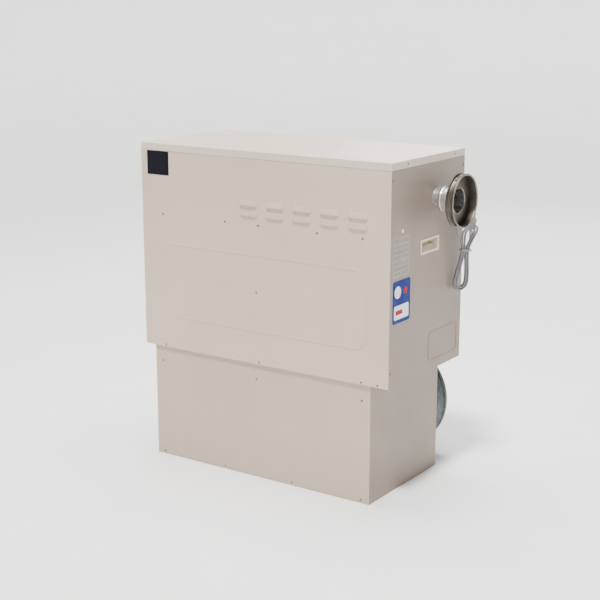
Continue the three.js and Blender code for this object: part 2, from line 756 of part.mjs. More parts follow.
function burnerManifold() {
  const xs = tubeXs();
  const from = xs[0] - 24;
  const to = xs[tubeCount - 1] + 20;
  let body = rod(manifoldRadius, from, to, 'x', 16);
  body = body.add(rod(manifoldRadius + 4, from, from + 14, 'x', 6));
  const spudEnd = tubeRise + fit + burnerLength + fit - manifoldRise;
  for (const x of xs) body = body.add(rod(spudRadius, spudEnd, 0, 'z', 8, [x, 0, 0]));
  return body;
}

const valveSize = { x: 78, y: 56, z: 52 };
const valveRight = tubeXs()[0] - 24 - fit;
const valveX = valveRight - valveSize.x / 2;
const knobRadius = 16;
const knobHeight = 17;

// Drawn round the middle of the valve's block.
function gasValve() {
  const { x, y, z } = valveSize;
  const half = x / 2;
  let body = block([-half + 6, half - 6], [-y / 2, y / 2], [-z / 2, z / 2]);
  body = body.add(rod(18, -half, half, 'x', 8));
  body = body.add(rod(13, z / 2 - 1, z / 2 + 20, 'z', 16, [18, 12, 0]));
  body = body.add(rod(11, y / 2 - 1, y / 2 + 12, 'y', 16, [-14, 0, 4]));
  body = body.add(rod(9, z / 2 - 1, z / 2 + 4, 'z', 16, [-16, -8, 0]));
  const footTop = -z / 2;
  const footBottom = fit - manifoldRise;
  body = body.add(block([-14, 14], [y / 2 - sheet, y / 2], [footBottom, footTop + 6]));
  return body.add(block([-14, 14], [y / 2 - 30, y / 2], [footBottom, footBottom + sheet]));
}

function valveKnob() {
  const dial = turned([
    [0, 0], [knobRadius, 0], [knobRadius, 5], [knobRadius - 2, 7], [0, 7],
  ], 'z', 20);
  return dial.add(block([-4, 4], [-knobRadius + 3, knobRadius - 3], [6, knobHeight]));
}

const inletBend = 26;
const inletReach = 36; // gas pipe's end behind the cabinet
const nutRadius = 17;
const nutLength = 16;

function gasInletPipe() {
  const start = valveX - valveSize.x / 2 - fit;
  const stations = [new THREE.Vector3(start, tubeFrontY, 0)];
  const steps = 6;
  for (let i = 0; i <= steps; i += 1) {
    const angle = (Math.PI / 2) * (i / steps);
    const x = gasPipeX + inletBend * (1 - Math.sin(angle));
    stations.push(new THREE.Vector3(x, tubeFrontY + inletBend * (1 - Math.cos(angle)), 0));
  }
  const end = cabinetBack + inletReach;
  stations.push(new THREE.Vector3(gasPipeX, end, 0));
  const nut = rod(nutRadius, end - nutLength, end, 'y', 6, [gasPipeX, 0, 0]);
  const bore = rod(gasPipeRadius - 3, end - nutLength, end + 1, 'y', 12, [gasPipeX, 0, 0]);
  return pipe(stations, gasPipeRadius, 12).add(nut).subtract(bore);
}

const pipework = addGroup(0, 0, manifoldRise, heating);
tubeXs().forEach((x, i) => {
  const y = (tubeFrontY + tubeBackY) / 2;
  addPiece(`exchanger_tube_${i + 1}`, exchangerTube(), 'exchangerSteel', heating).position.set(x, y, 0);
  const burnerPiece = addPiece(`burner_${i + 1}`, burner(), 'exchangerSteel', heating);
  burnerPiece.position.set(x, tubeFrontY, tubeRise + fit);
});
addPiece('burner_manifold', burnerManifold(), 'castGrey', pipework).position.y = tubeFrontY;
addPiece('gas_valve', gasValve(), 'castGrey', pipework).position.set(valveX, tubeFrontY, 0);
addPiece('gas_valve_knob', valveKnob(), 'redPlastic', pipework)
  .position.set(valveX - 16, tubeFrontY - 8, valveSize.z / 2 + 4 + fit);
addPiece('gas_inlet_pipe', gasInletPipe(), 'brass', pipework);

// ---- the collector box and the flue fan on it --------------------------------------------------
const drumRadius = 78;
const ductHalf = 35; // fan outlet's half width
const collectorMargin = 30;
const fanY = flueY + ductHalf - drumRadius;
const fanX = tubeXs()[tubeCount - 1] - 72;
const fanInlet = 30;
const fanWheelRadius = 62;
const fanShaftRadius = 5;
const collectorY = [fanY - fanInlet - 14, tubeBackY + tubeRadius + collectorMargin - 6];

function collectorBox() {
  const xs = tubeXs();
  const spanX = [xs[0] - collectorMargin, xs[tubeCount - 1] + collectorMargin];
  const outer = block(spanX, collectorY, [fit, collectorHeight]);
  const hollowX = [spanX[0] + sheet, spanX[1] - sheet];
  const hollowY = [collectorY[0] + sheet, collectorY[1] - sheet];
  const hollow = block(hollowX, hollowY, [-1, collectorHeight - sheet]);
  const hole = rod(fanInlet, 0, collectorHeight + 1, 'z', 24, [fanX, fanY, 0]);
  const rib = block([xs[0] + 10, xs[tubeCount - 1] - 150], [collectorY[1] - 28, collectorY[1] - 22],
    [collectorHeight - 1, collectorHeight + 3]);
  return outer.add(rib).subtract(hollow).subtract(hole);
}

const flueFan = addGroup(fanX, fanY, flueZ);
const fanHalf = fanHeight / 2;
const stubRadius = flueRadius - 2;
const stubEnd = cabinetRight - flueTuck - fit - fanX;

function flueFanHousing() {
  const offset = flueY - fanY;
  const ductFrom = 10;
  const ductEnd = stubEnd - 26;
  let body = rod(drumRadius, -fanHalf, fanHalf, 'z', 24);
  body = body.add(block([ductFrom, ductEnd], [offset - ductHalf, offset + ductHalf], [-fanHalf, fanHalf]));
  body = body.add(ring(drumRadius - 2, drumRadius + 5, fanHalf - 6, fanHalf - 4, 'z', 24));
  let hollow = rod(drumRadius - sheet, -fanHalf + sheet, fanHalf - sheet, 'z', 24);
  hollow = hollow.add(block([ductFrom, ductEnd - sheet],
    [offset - ductHalf + sheet, offset + ductHalf - sheet], [-fanHalf + sheet, fanHalf - sheet]));
  const stubPlateY = [offset - stubRadius - 4, offset + ductHalf];
  body = body.add(block([ductEnd - 2, ductEnd], stubPlateY, [-stubRadius, stubRadius]));
  body = body.add(rod(stubRadius, ductEnd - sheet, stubEnd, 'x', 24, [0, offset, 0]));
  hollow = hollow.add(rod(ductHalf - sheet - 1, ductEnd - 4, ductEnd + 1, 'x', 24, [0, offset, 0]));
  hollow = hollow.add(rod(stubRadius - sheet, ductEnd, stubEnd + 1, 'x', 24, [0, offset, 0]));
  hollow = hollow.add(rod(fanInlet, -fanHalf - 1, 0, 'z', 24));
  hollow = hollow.add(rod(fanShaftRadius + fit, 0, fanHalf + 1, 'z', 12));
  return body.subtract(hollow);
}

function flueFanWheel() {
  const plateTop = fanHalf - 12;
  const bladeBottom = -fanHalf + 8;
  const blades = 10;
  let wheel = rod(fanWheelRadius, plateTop - 2, plateTop, 'z', 24);
  wheel = wheel.add(rod(12, plateTop - 22, plateTop, 'z', 12));
  wheel = wheel.add(rod(fanShaftRadius, plateTop - 20, fanHalf, 'z', 12));
  const blade = block([30, fanWheelRadius - 1], [-1, 1], [bladeBottom, plateTop - 1]);
  for (let i = 0; i < blades; i += 1) wheel = wheel.add(blade.rotate([0, 0, (360 * i) / blades]));
  return wheel;
}

const fanMotorRadius = 40;
const fanMotorHeight = 62;

function flueFanMotor() {
  const bottom = fanHalf + fit;
  const rim = fanMotorRadius + 12;
  const body = turned([
    [0, bottom], [rim, bottom], [rim, bottom + 3], [fanMotorRadius, bottom + 3],
    [fanMotorRadius, bottom + fanMotorHeight - 8], [fanMotorRadius - 8, bottom + fanMotorHeight],
    [0, bottom + fanMotorHeight],
  ], 'z', 24);
  return body.add(rod(14, bottom + fanMotorHeight - 1, bottom + fanMotorHeight + 8, 'z', 16));
}

addPiece('collector_box', collectorBox(), 'exchangerSteel', heating);
addPiece('flue_fan_housing', flueFanHousing(), 'galvanised', flueFan);
addPiece('flue_fan_wheel', flueFanWheel(), 'exchangerSteel', flueFan);
addPiece('flue_fan_motor', flueFanMotor(), 'motorPaint', flueFan);

// ---- small pieces on the shelf -------------------------------------------------------------------
const insulatorHeight = 44;
const electrodeLength = 24;

function ceramicRod() {
  const foot = block([-12, 12], [-6, 6], [fit, fit + sheet]);
  const electrodeTop = insulatorHeight + electrodeLength;
  return foot.add(rod(4.5, fit, insulatorHeight, 'z', 12))
    .add(rod(1.4, insulatorHeight - 1, electrodeTop, 'z', 8));
}

function overheatSwitch() {
  const foot = block([-20, 20], [-8, 8], [fit, fit + sheet]);
  const blades = block([-6, -3], [-3, 3], [12, 24]).add(block([3, 6], [-3, 3], [12, 24]));
  return foot.add(rod(10, fit, 14, 'z', 20)).add(blades);
}

const controlSize = { x: 210, y: 250, z: 70 };
const controlFromLeft = 150; // middle of the control box
const controlFromMiddle = 80;
const controlX = cabinetLeft + controlFromLeft;
const controlY = cabinetMiddle - controlFromMiddle;

function controlBox() {
  const halfX = controlSize.x / 2;
  const halfY = controlSize.y / 2;
  const outer = block([-halfX, halfX], [-halfY, halfY], [fit, controlSize.z]);
  const hollowX = [-halfX + sheet, halfX - sheet];
  const hollow = block(hollowX, [-halfY + sheet, halfY - sheet], [fit + sheet, controlSize.z + 1]);
  const wireHole = rod(11, halfX - 5, halfX + 5, 'x', 16, [0, halfY / 2, controlSize.z / 2]);
  return outer.subtract(hollow).subtract(wireHole);
}

function controlBoard() {
  const bottom = fit + sheet + fit;
  const halfX = controlSize.x / 2 - 10;
  const halfY = controlSize.y / 2 - 10;
  const standOff = 8;
  let board = block([-halfX, halfX], [-halfY, halfY], [bottom + standOff, bottom + standOff + 1.6]);
  for (const x of [-1, 1]) {
    for (const y of [-1, 1]) {
      const place = [x * (halfX - standOff), y * (halfY - standOff), 0];
      board = board.add(rod(3, bottom, bottom + standOff + 0.5, 'z', 8, place));
    }
  }
  const face = bottom + standOff + 1;
  board = board.add(block([-70, -20], [30, 85], [face, face + 38])); // transformer
  for (let y = -90; y < 40; y += 34) {
    board = board.add(block([10, 40], [y, y + 20], [face, face + 20])); // relay
  }
  for (let y = -60; y < 40; y += 40) {
    board = board.add(rod(8, face, face + 28, 'z', 12, [62, y, 0])); // capacitor
  }
  return board.add(block([-80, -66], [-100, 0], [face, face + 14])); // row of terminals
}

const rodPlace = tubeRadius + tubeFlange + 12;
const rodNames = ['spark_igniter', 'flame_sensor'];
[tubeXs()[0], tubeXs()[tubeCount - 1]].forEach((x, i) => {
  addPiece(rodNames[i], ceramicRod(), 'ceramic', heating).position.set(x, tubeFrontY + rodPlace, 0);
});
addPiece('overheat_switch', overheatSwitch(), 'blackPlastic', heating).position.set(valveX, flueY, 0);
addPiece('control_box', controlBox(), 'galvanised', heating).position.set(controlX, controlY, 0);
addPiece('control_board', controlBoard(), 'boardGreen', heating).position.set(controlX, controlY, 0);

// ---- the flue's tube and collar on the right side, drawn along X from the panel's face ------------
const flue = addGroup(cabinetRight, flueY, flueZ);

function flueSpigot() {
  const bore = flueRadius - sheet;
  const inside = -sheet - fit;
  const washer = flueRadius + 15;
  const bead = flueRadius + 1.2;
  return turned([
    [bore, -flueTuck], [flueRadius, -flueTuck], [flueRadius, inside - sheet], [washer, inside - sheet],
    [washer, inside], [flueRadius, inside], [flueRadius, 22], [bead, 24],
    [bead, 28], [flueRadius, 30], [flueRadius, flueReach], [bore, flueReach],
  ], 'x', flueSides);
}

function flueCollar() {
  const bore = flueRadius + fit;
  const back = flueReach - 3;
  const end = back + collarDepth;
  const rim = collarRadius + collarRim;
  return turned([
    [bore, back - collarNeck], [bore + 3, back - collarNeck], [bore + 3, back],
    [rim - 2, back], [rim, back + 2], [rim, back + 5], [collarRadius, back + 8],
    [collarRadius, end - 8], [rim - 1, end - 5], [rim - 1, end - 1.5], [rim - 2, end],
    [collarRadius - 2, end], [collarRadius - 2, back + 2], [bore, back + 2],
  ], 'x', flueSides);
}

addPiece('flue_spigot', flueSpigot(), 'galvanised', flue);
addPiece('flue_collar', flueCollar(), 'fluePlate', flue);

// ---- the supply cord: gland, free stretch, tied hank and plug --------------------------------------
const glandReach = 30; // end of the gland's boot outside the panel
const cordRadius = cordDiameter / 2;

function cordGland() {
  const inside = -sheet - fit;
  const seat = rod(glandRadius, inside - 1, fit + 1, 'x', 12);
  const boot = turned([
    [0, fit], [glandRadius + 5, fit], [glandRadius + 5, 3], [glandRadius + 1, 5], [glandRadius, 11],
    [cordRadius + 1.6, glandReach], [0, glandReach],
  ], 'x', 14);
  const nut = rod(glandRadius + 5, inside - 6, inside, 'x', 6);
  return seat.add(boot).add(nut);
}

// The hank's middle line: it stands away from the panel and leans outward above its tie.
const tieFromPanel = 36;
const tieBehindGland = 74;
const tieBelowGland = 162;
const tieX = cabinetRight + tieFromPanel;
const tieY = glandY + tieBehindGland;
const tieZ = glandZ - tieBelowGland;
const lean = 0.1;
const leanGain = 0.002;
const backLean = 0.06;

function hankMiddle(rise) {
  const bow = leanGain * Math.max(0, rise) ** 2;
  return new THREE.Vector3(tieX + lean * rise + bow, tieY + backLean * rise, tieZ + rise);
}

const hankAcross = new THREE.Vector3(0.45, 0.893, 0); // from its left run to its right run
const hankOut = new THREE.Vector3(0.893, -0.45, 0); // from its back layer to its front layer
const hankUpper = 95; // from the tie to the top of the outer loop
const hankLower = 146;
const hankHalf = 30; // outer loop's half width
const waistHalf = 15.8;
const loopStep = 8.9; // from one loop to the next inside it
const waistStep = 9.3;
const layerHalf = 4.4; // from the middle to either layer
const layerFan = 0.03;

function hankPlace(across, out, rise) {
  return hankMiddle(rise).addScaledVector(hankAcross, across).addScaledVector(hankOut, out);
}

// Places on a run, as shares of its lower part (below the tie) or of its upper part.
const runShares = [-1, -0.62, -0.29, -0.07, 0.12, 0.52, 1];
const arcSteps = 6;
const stepsPerLoop = 2 * runShares.length + 2 * (arcSteps - 1);

// One loop, starting just under the tie on its left run and going down: the place on a run, or the
// angle on a round end.
function loopWalk() {
  const up = runShares.map((share) => ({ side: 1, share }));
  const down = runShares.map((share) => ({ side: -1, share })).reverse();
  const round = (upper) => Array.from({ length: arcSteps - 1 }, (_, i) => ({
    upper, angle: (Math.PI * (i + 1)) / arcSteps,
  }));
  const firstBelow = down.findIndex((place) => place.share < 0);
  return [...down.slice(firstBelow), ...round(false), ...up, ...round(true), ...down.slice(0, firstBelow)];
}

const walk = loopWalk();
const climbFrom = hankTurns / 2 - 0.25; // turn where the winding starts to go over to the back layer
const climbTurns = 0.5;

function hankStation(step) {
  const turn = step / stepsPerLoop;
  const place = walk[((step % stepsPerLoop) + stepsPerLoop) % stepsPerLoop];
  const inset = Math.min(turn, hankTurns - turn);
  const layer = 1 - 2 * THREE.MathUtils.clamp((turn - climbFrom) / climbTurns, 0, 1);
  const round = hankHalf - loopStep * inset;
  let across;
  let rise;
  if (place.angle === undefined) {
    const reach = place.share > 0 ? hankUpper - hankHalf : hankLower - hankHalf;
    rise = place.share * reach;
    const drawnIn = Math.cos((Math.PI / 2) * place.share) ** 2;
    const waist = waistHalf - waistStep * inset;
    across = place.side * (round + (waist - round) * drawnIn);
  } else {
    const end = place.upper ? hankUpper - hankHalf : hankHalf - hankLower;
    const turnWay = place.upper ? 1 : -1;
    across = turnWay * round * Math.cos(place.angle);
    rise = end + turnWay * round * Math.sin(place.angle);
  }
  return hankPlace(across, layer * (layerHalf + layerFan * Math.max(0, rise)), rise);
}

// Chosen places, each [across, out, rise], where the winding starts and where it leaves for the plug.
const hankStart = [[-19, 5.4, 16]];
const hankFinish = [[20.2, -8.6, 21], [24.5, -16, 31], [25.5, -21.5, 42], [25.5, -24.5, 51]];
const lastStep = Math.round(hankTurns * stepsPerLoop);

function hankRoute() {
  const stations = hankStart.map((place) => hankPlace(...place));
  for (let step = -1; step <= lastStep; step += 1) stations.push(hankStation(step));
  return [...stations, ...hankFinish.map((place) => hankPlace(...place))];
}

// The free stretch: chosen places from the gland's boot to the hank, in the part's own frame.
const cordPlaces = [
  [cabinetRight + 47, glandY + 1, glandZ - 5],
  [cabinetRight + 52, glandY + 4, glandZ - 19],
  [cabinetRight + 46, glandY + 9, glandZ - 38],
  [cabinetRight + 34, glandY + 16, glandZ - 60],
  [cabinetRight + 26, glandY + 25, glandZ - 84],
  [cabinetRight + 26, glandY + 36, glandZ - 106],
  [cabinetRight + 31, glandY + 47, glandZ - 123],
];

function cordRoute(stations) {
  const start = new THREE.Vector3(cabinetRight + glandReach + fit, glandY, glandZ);
  const straight = start.clone().add(new THREE.Vector3(cordDiameter, 0, 0));
  const meet = stations[0];
  const back = meet.clone().sub(stations[1]).normalize();
  const finish = meet.clone().addScaledVector(back, fit);
  const last = finish.clone().addScaledVector(back, cordDiameter);
  const curve = new THREE.CatmullRomCurve3([
    straight, ...cordPlaces.map((place) => new THREE.Vector3(...place)), last,
  ], false, 'centripetal');
  return [start, ...curve.getPoints(18), finish];
}

// The winding's least gap to itself, measured between points that are more than three
// diameters apart along the cord.
function leastGap(stations) {
  const points = [];
  stations.slice(1).forEach((end, i) => {
    const from = stations[i];
    const count = Math.ceil(end.distanceTo(from) / 1.5);
    for (let k = 0; k < count; k += 1) points.push(from.clone().lerp(end, k / count));
  });
  const along = [0];
  for (let i = 1; i < points.length; i += 1) along.push(along[i - 1] + points[i].distanceTo(points[i - 1]));
  let least = Infinity;
  points.forEach((point, i) => {
    for (let k = i + 1; k < points.length; k += 1) {
      if (along[k] - along[i] > 3 * cordDiameter) least = Math.min(least, point.distanceTo(points[k]));
    }
  });
  return { gap: least - cordDiameter, length: along[along.length - 1] };
}

// A strap round the waist, drawn across, out and up.
const strapHalf = 4;

function hankTie() {
  const halfAcross = waistHalf + cordRadius + 2.4;
  const halfOut = layerHalf + cordRadius + 1.6;
  const strap = 2;
  const bend = cordRadius - 0.6;
  const x = halfAcross + strap;
  const y = halfOut + strap;
  const outer = roundedOutline(-x, x, -y, y, bend + strap);
  outer.holes.push(roundedOutline(-halfAcross, halfAcross, -halfOut, halfOut, bend));
  return pushed(outer, 'z', -strapHalf, strapHalf, 4);
}

const plugBoot = 22;
const plugBody = 36;
const pinLength = 17;

// Drawn upward from where the cord enters it: boot, moulded body, two angled pins and a straight one.
function mainsPlug() {
  const bootTop = plugBoot + 2;
  const boot = turned([[0, 0], [cordRadius + 1.2, 0], [cordRadius + 4, bootTop], [0, bootTop]], 'z', 12);
  const outline = new THREE.Shape();
  outline.absellipse(0, 0, 17, 12, 0, Math.PI * 2);
  const neck = new THREE.Shape();
  neck.absellipse(0, 0, 12.5, 9.5, 0, Math.PI * 2);
  let plug = boot.add(pushed(neck, 'z', plugBoot, plugBoot + 12, 8));
  plug = plug.add(pushed(outline, 'z', plugBoot + 10, plugBoot + plugBody, 8));
  const top = plugBoot + plugBody;
  const pin = block([-0.8, 0.8], [-3.1, 3.1], [top - 1, top + pinLength]);
  plug = plug.add(pin.rotate([0, 0, 30]).translate([-7.9, 3, 0]));
  plug = plug.add(pin.rotate([0, 0, -30]).translate([7.9, 3, 0]));
  return plug.add(pin.translate([0, -6.5, 0]));
}

const winding = hankRoute();
const stretch = cordRoute(winding);
addPiece('cord_gland', cordGland(), 'blackPlastic').position.set(cabinetRight, glandY, glandZ);
addPiece('supply_cord', pipe(stretch, cordRadius, 8), 'greyFlex');
addPiece('cord_hank', pipe(winding, cordRadius, 6), 'greyFlex');

const strapPiece = addPiece('hank_tie', hankTie(), 'blackPlastic');
const tieUp = hankPlace(0, 0, 1).sub(hankPlace(0, 0, -1)).normalize();
const tieOut = hankOut.clone().addScaledVector(tieUp, -hankOut.dot(tieUp)).normalize();
const tieAcross = new THREE.Vector3().crossVectors(tieUp, tieOut);
strapPiece.quaternion.setFromRotationMatrix(
  new THREE.Matrix4().makeBasis(tieAcross, tieOut.clone().negate(), tieUp));
strapPiece.position.copy(hankMiddle(0));

const plugPiece = addPiece('mains_plug', mainsPlug(), 'blackPlastic');
const plugWay = winding[winding.length - 1].clone().sub(winding[winding.length - 2]).normalize();
plugPiece.quaternion.setFromUnitVectors(new THREE.Vector3(0, 0, 1), plugWay);
plugPiece.position.copy(winding[winding.length - 1]).addScaledVector(plugWay, fit);

const wound = leastGap(winding);
console.log(`hank: least gap to itself ${wound.gap.toFixed(2)} mm, length ${wound.length.toFixed(0)} mm`);
console.log(`free stretch: length ${leastGap(stretch).length.toFixed(0)} mm`);

export default furnace;
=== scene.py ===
"""Looks of a forced air gas furnace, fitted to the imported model.

Lengths are millimetres in the part's own frame (+X right, +Y back, +Z up) and are scaled to
metres where a mesh or a curve is made.
"""
import bpy
import math
from mathutils import Matrix, Vector


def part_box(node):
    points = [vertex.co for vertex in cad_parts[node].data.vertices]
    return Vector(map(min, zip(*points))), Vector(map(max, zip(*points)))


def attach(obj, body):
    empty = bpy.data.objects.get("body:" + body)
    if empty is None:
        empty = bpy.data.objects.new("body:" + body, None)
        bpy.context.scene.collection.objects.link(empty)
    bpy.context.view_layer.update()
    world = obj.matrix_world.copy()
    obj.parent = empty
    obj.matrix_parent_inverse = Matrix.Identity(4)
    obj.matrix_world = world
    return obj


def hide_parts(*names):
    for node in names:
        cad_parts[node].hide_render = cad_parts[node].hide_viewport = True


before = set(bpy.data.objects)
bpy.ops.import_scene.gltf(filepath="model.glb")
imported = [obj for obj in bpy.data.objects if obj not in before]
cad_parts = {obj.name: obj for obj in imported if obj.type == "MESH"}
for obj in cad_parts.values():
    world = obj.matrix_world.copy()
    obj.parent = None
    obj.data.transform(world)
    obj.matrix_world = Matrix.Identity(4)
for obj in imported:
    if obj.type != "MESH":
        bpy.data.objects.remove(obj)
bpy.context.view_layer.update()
MM = 0.001


# ---- places read from the part's own nodes, in millimetres to a tenth --------------------------
def in_tenths(corner):
    return [round(value / MM, 1) for value in corner]


def node_middle(node):
    low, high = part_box(node)
    return in_tenths((low + high) / 2)


LID_LOW, LID_HIGH = [in_tenths(corner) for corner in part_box("lid")]
PANEL_LOW, PANEL_HIGH = [in_tenths(corner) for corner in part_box("front_panel")]
CABINET_LEFT = LID_LOW[0]
CABINET_RIGHT = LID_HIGH[0]
CABINET_FRONT = LID_LOW[1]
CABINET_BACK = LID_HIGH[1]
BASE_HEIGHT = PANEL_LOW[2]
PANEL_TOP = PANEL_HIGH[2]
BASE_FRONT = in_tenths(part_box("base_front_panel")[0])[1]
BASE_BACK = in_tenths(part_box("base_back_panel")[1])[1]
FLUE = Vector((CABINET_RIGHT, *node_middle("flue_collar")[1:]))
GLAND = Vector((CABINET_RIGHT, *node_middle("cord_gland")[1:]))
TIE = Vector(node_middle("hank_tie"))


# ---- camera ----------------------------------------------------------------------------------
CAMERA_PLACE = (2.6311, -3.8205, 1.7411)
CAMERA_DOWN = math.radians(13.611)
CAMERA_TURN = math.radians(34.320)
CAMERA_LENS = 77.51


def add_camera():
    data = bpy.data.cameras.new("camera")
    data.sensor_width = 36
    data.lens = CAMERA_LENS
    data.clip_start = 0.1
    data.clip_end = 60
    camera = bpy.data.objects.new("camera", data)
    camera.location = CAMERA_PLACE
    camera.rotation_euler = (math.pi / 2 - CAMERA_DOWN, 0, CAMERA_TURN)
    bpy.context.scene.collection.objects.link(camera)
    bpy.context.scene.camera = camera


add_camera()


# ---- materials: every finish is a small node tree on object coordinates ----------------------
def fill_sockets(tree, node, inputs):
    """Links each input to a socket, or sets it where the value is a constant."""
    for key, value in inputs.items():
        socket = node.inputs[key]
        if isinstance(value, bpy.types.NodeSocket):
            tree.links.new(value, socket)
        else:
            socket.default_value = value


def add_node(tree, kind, inputs=None, **settings):
    made = tree.nodes.new(kind)
    for key, value in settings.items():
        setattr(made, key, value)
    fill_sockets(tree, made, inputs or {})
    return made


def linear(colour):
    """An sRGB colour of 0 to 255 as scene-linear RGBA."""
    values = []
    for channel in colour:
        share = channel / 255
        low = share / 12.92
        high = ((share + 0.055) / 1.055) ** 2.4
        values.append(low if share <= 0.04045 else high)
    return (*values, 1.0)


def scaled_colour(colour, share):
    """An sRGB colour as scene-linear RGBA, made darker or brighter by a share."""
    return tuple(min(1.0, share * channel) for channel in linear(colour)[:3]) + (1,)


class Finish:
    """A material with its object coordinates and its Principled shader at hand."""

    def __init__(self, name, roughness, metallic=0.0, **sockets):
        self.material = bpy.data.materials.new(name)
        self.material.use_nodes = True
        self.tree = self.material.node_tree
        self.shader = self.tree.nodes["Principled BSDF"]
        self.shader.inputs["Roughness"].default_value = roughness
        self.shader.inputs["Metallic"].default_value = metallic
        for key, value in sockets.items():
            self.shader.inputs[key.replace("_", " ")].default_value = value
        place = add_node(self.tree, "ShaderNodeTexCoord")
        self.place = place.outputs["Object"]

    def stretched(self, scale):
        inputs = {"Vector": self.place, "Scale": scale}
        return add_node(self.tree, "ShaderNodeMapping", inputs).outputs["Vector"]

    def noise(self, scale, detail=3.0, roughness=0.5, where=None):
        inputs = {"Vector": where or self.place, "Scale": scale, "Detail": detail}
        inputs["Roughness"] = roughness
        return add_node(self.tree, "ShaderNodeTexNoise", inputs).outputs["Fac"]

    def cells(self, scale, output="Color", feature="F1", where=None):
        inputs = {"Vector": where or self.place, "Scale": scale}
        node = add_node(self.tree, "ShaderNodeTexVoronoi", inputs, feature=feature)
        return node.outputs[output]

    def ramp(self, factor, low, high, first, second):
        node = add_node(self.tree, "ShaderNodeValToRGB", {"Fac": factor})
        node.color_ramp.elements[0].position = low
        node.color_ramp.elements[1].position = high
        node.color_ramp.elements[0].color = first
        node.color_ramp.elements[1].color = second
        return node.outputs["Color"]

    def grey(self, factor, low, high, first, second):
        return self.ramp(factor, low, high, (first, first, first, 1), (second, second, second, 1))

    def span(self, value, low, high, first=0.0, second=1.0):
        inputs = {"Value": value, "From Min": low, "From Max": high}
        inputs.update({"To Min": first, "To Max": second})
        return add_node(self.tree, "ShaderNodeMapRange", inputs).outputs["Result"]

    def mix(self, factor, first, second, blend="MIX"):
        """Two colours mixed; inputs 0, 6 and 7 are the Mix node's factor and colours."""
        inputs = {0: factor, 6: first, 7: second}
        node = add_node(self.tree, "ShaderNodeMix", None, data_type="RGBA", blend_type=blend)
        fill_sockets(self.tree, node, inputs)
        return node.outputs[2]

    def product(self, first, second):
        node = add_node(self.tree, "ShaderNodeMath", {0: first, 1: second}, operation="MULTIPLY")
        return node.outputs[0]

    def axis_share(self, axis, low, high, first=0.0, second=1.0):
        """A value that goes from first to second between two places along an axis, in metres."""
        parts = add_node(self.tree, "ShaderNodeSeparateXYZ", {"Vector": self.place})
        return self.span(parts.outputs[axis], low, high, first, second)

    def colour(self, value):
        self.tree.links.new(value, self.shader.inputs["Base Color"])

    def gloss(self, value):
        self.tree.links.new(value, self.shader.inputs["Roughness"])

    def bump(self, height, distance, strength=1.0, under=None):
        inputs = {"Height": height, "Distance": distance, "Strength": strength}
        if under is not None:
            inputs["Normal"] = under
        return add_node(self.tree, "ShaderNodeBump", inputs).outputs["Normal"]

    def normal(self, value):
        self.tree.links.new(value, self.shader.inputs["Normal"])


# How far the lighter edge patches reach and how strong they get: partly wear, partly painted highlight.
EDGE_REACH = 0.0022
EDGE_WEAR_AND_HIGHLIGHT = 0.55
# The coat turns darker in streaks below this height, by at most this share.
LOW_DARKENING_TOP = 0.22
LOW_DARKENING_MOST = 0.30


def worn_and_highlit_edges(look):
    """A share highest in patches along a piece's outer edges: partly wear, partly painted highlight."""
    geometry = add_node(look.tree, "ShaderNodeNewGeometry")
    softened = add_node(look.tree, "ShaderNodeBevel", {"Radius": EDGE_REACH}, samples=4)
    inputs = {0: softened.outputs["Normal"], 1: geometry.outputs["Normal"]}
    facing = add_node(look.tree, "ShaderNodeVectorMath", inputs, operation="DOT_PRODUCT")
    edge = look.span(facing.outputs["Value"], 0.985, 0.80)
    patchy = look.span(look.noise(26.0, 4.0, 0.6), 0.45, 0.62)
    return look.span(look.product(edge, patchy), 0.0, 1.0, 0.0, EDGE_WEAR_AND_HIGHLIGHT)


def powder_coat(name, colour, worn_and_highlit, low_colour, roughness=0.42):
    """Satin coat with a faint orange-peel surface, lighter edges (partly wear, partly painted highlight)
    and darker streaks low down.
    """
    look = Finish(name, roughness, Coat_Weight=0.12, Coat_Roughness=0.3)
    base = look.ramp(look.noise(2.2, 3.0), 0.35, 0.68, scaled_colour(colour, 0.93), linear(colour))
    speck = look.grey(look.noise(620.0, 2.0, 0.6), 0.35, 0.7, 0.965, 1.0)
    base = look.mix(1.0, base, speck, "MULTIPLY")
    # Lighter patches along the edges: partly wear, partly painted highlight.
    base = look.mix(worn_and_highlit_edges(look), base, linear(worn_and_highlit))
    # Darker towards the bottom, in vertical streaks.
    low = look.axis_share("Z", 0.0, LOW_DARKENING_TOP, LOW_DARKENING_MOST, 0.0)
    streaks = look.noise(9.0, 4.0, 0.6, look.stretched((1.0, 1.0, 0.25)))
    look.colour(look.mix(look.product(low, streaks), base, linear(low_colour)))
    look.gloss(look.span(look.noise(7.0, 4.0, 0.6), 0.3, 0.75, roughness - 0.05, roughness + 0.09))
    peel = look.bump(look.noise(420.0, 2.0, 0.5), 0.00012, 0.5)
    look.normal(look.bump(look.noise(3.5, 2.0, 0.4), 0.0009, 0.35, peel))
    return look.material


def zinc_sheet(name, colour, roughness=0.36):
    """Galvanised sheet: crystals of different greys, each with its own gloss."""
    look = Finish(name, roughness, 0.92)
    where = look.mix(0.02, look.place, look.noise(30.0, 2.0))
    spangle = look.cells(75.0, where=where)
    tone = add_node(look.tree, "ShaderNodeSeparateColor", {"Color": spangle})
    dark = scaled_colour(colour, 0.78)
    bright = scaled_colour(colour, 1.16)
    base = look.ramp(tone.outputs["Red"], 0.0, 1.0, dark, bright)
    dull = look.grey(look.noise(11.0, 4.0, 0.6), 0.3, 0.7, 0.86, 1.0)
    look.colour(look.mix(1.0, base, dull, "MULTIPLY"))
    look.gloss(look.span(tone.outputs["Green"], 0.0, 1.0, roughness - 0.07, roughness + 0.1))
    grain = look.bump(look.noise(240.0, 3.0, 0.6), 0.00008, 0.5)
    look.normal(look.bump(look.noise(5.0, 2.0), 0.0012, 0.25, grain))
    return look.material


ALONG_X = (18.0, 380.0, 380.0)


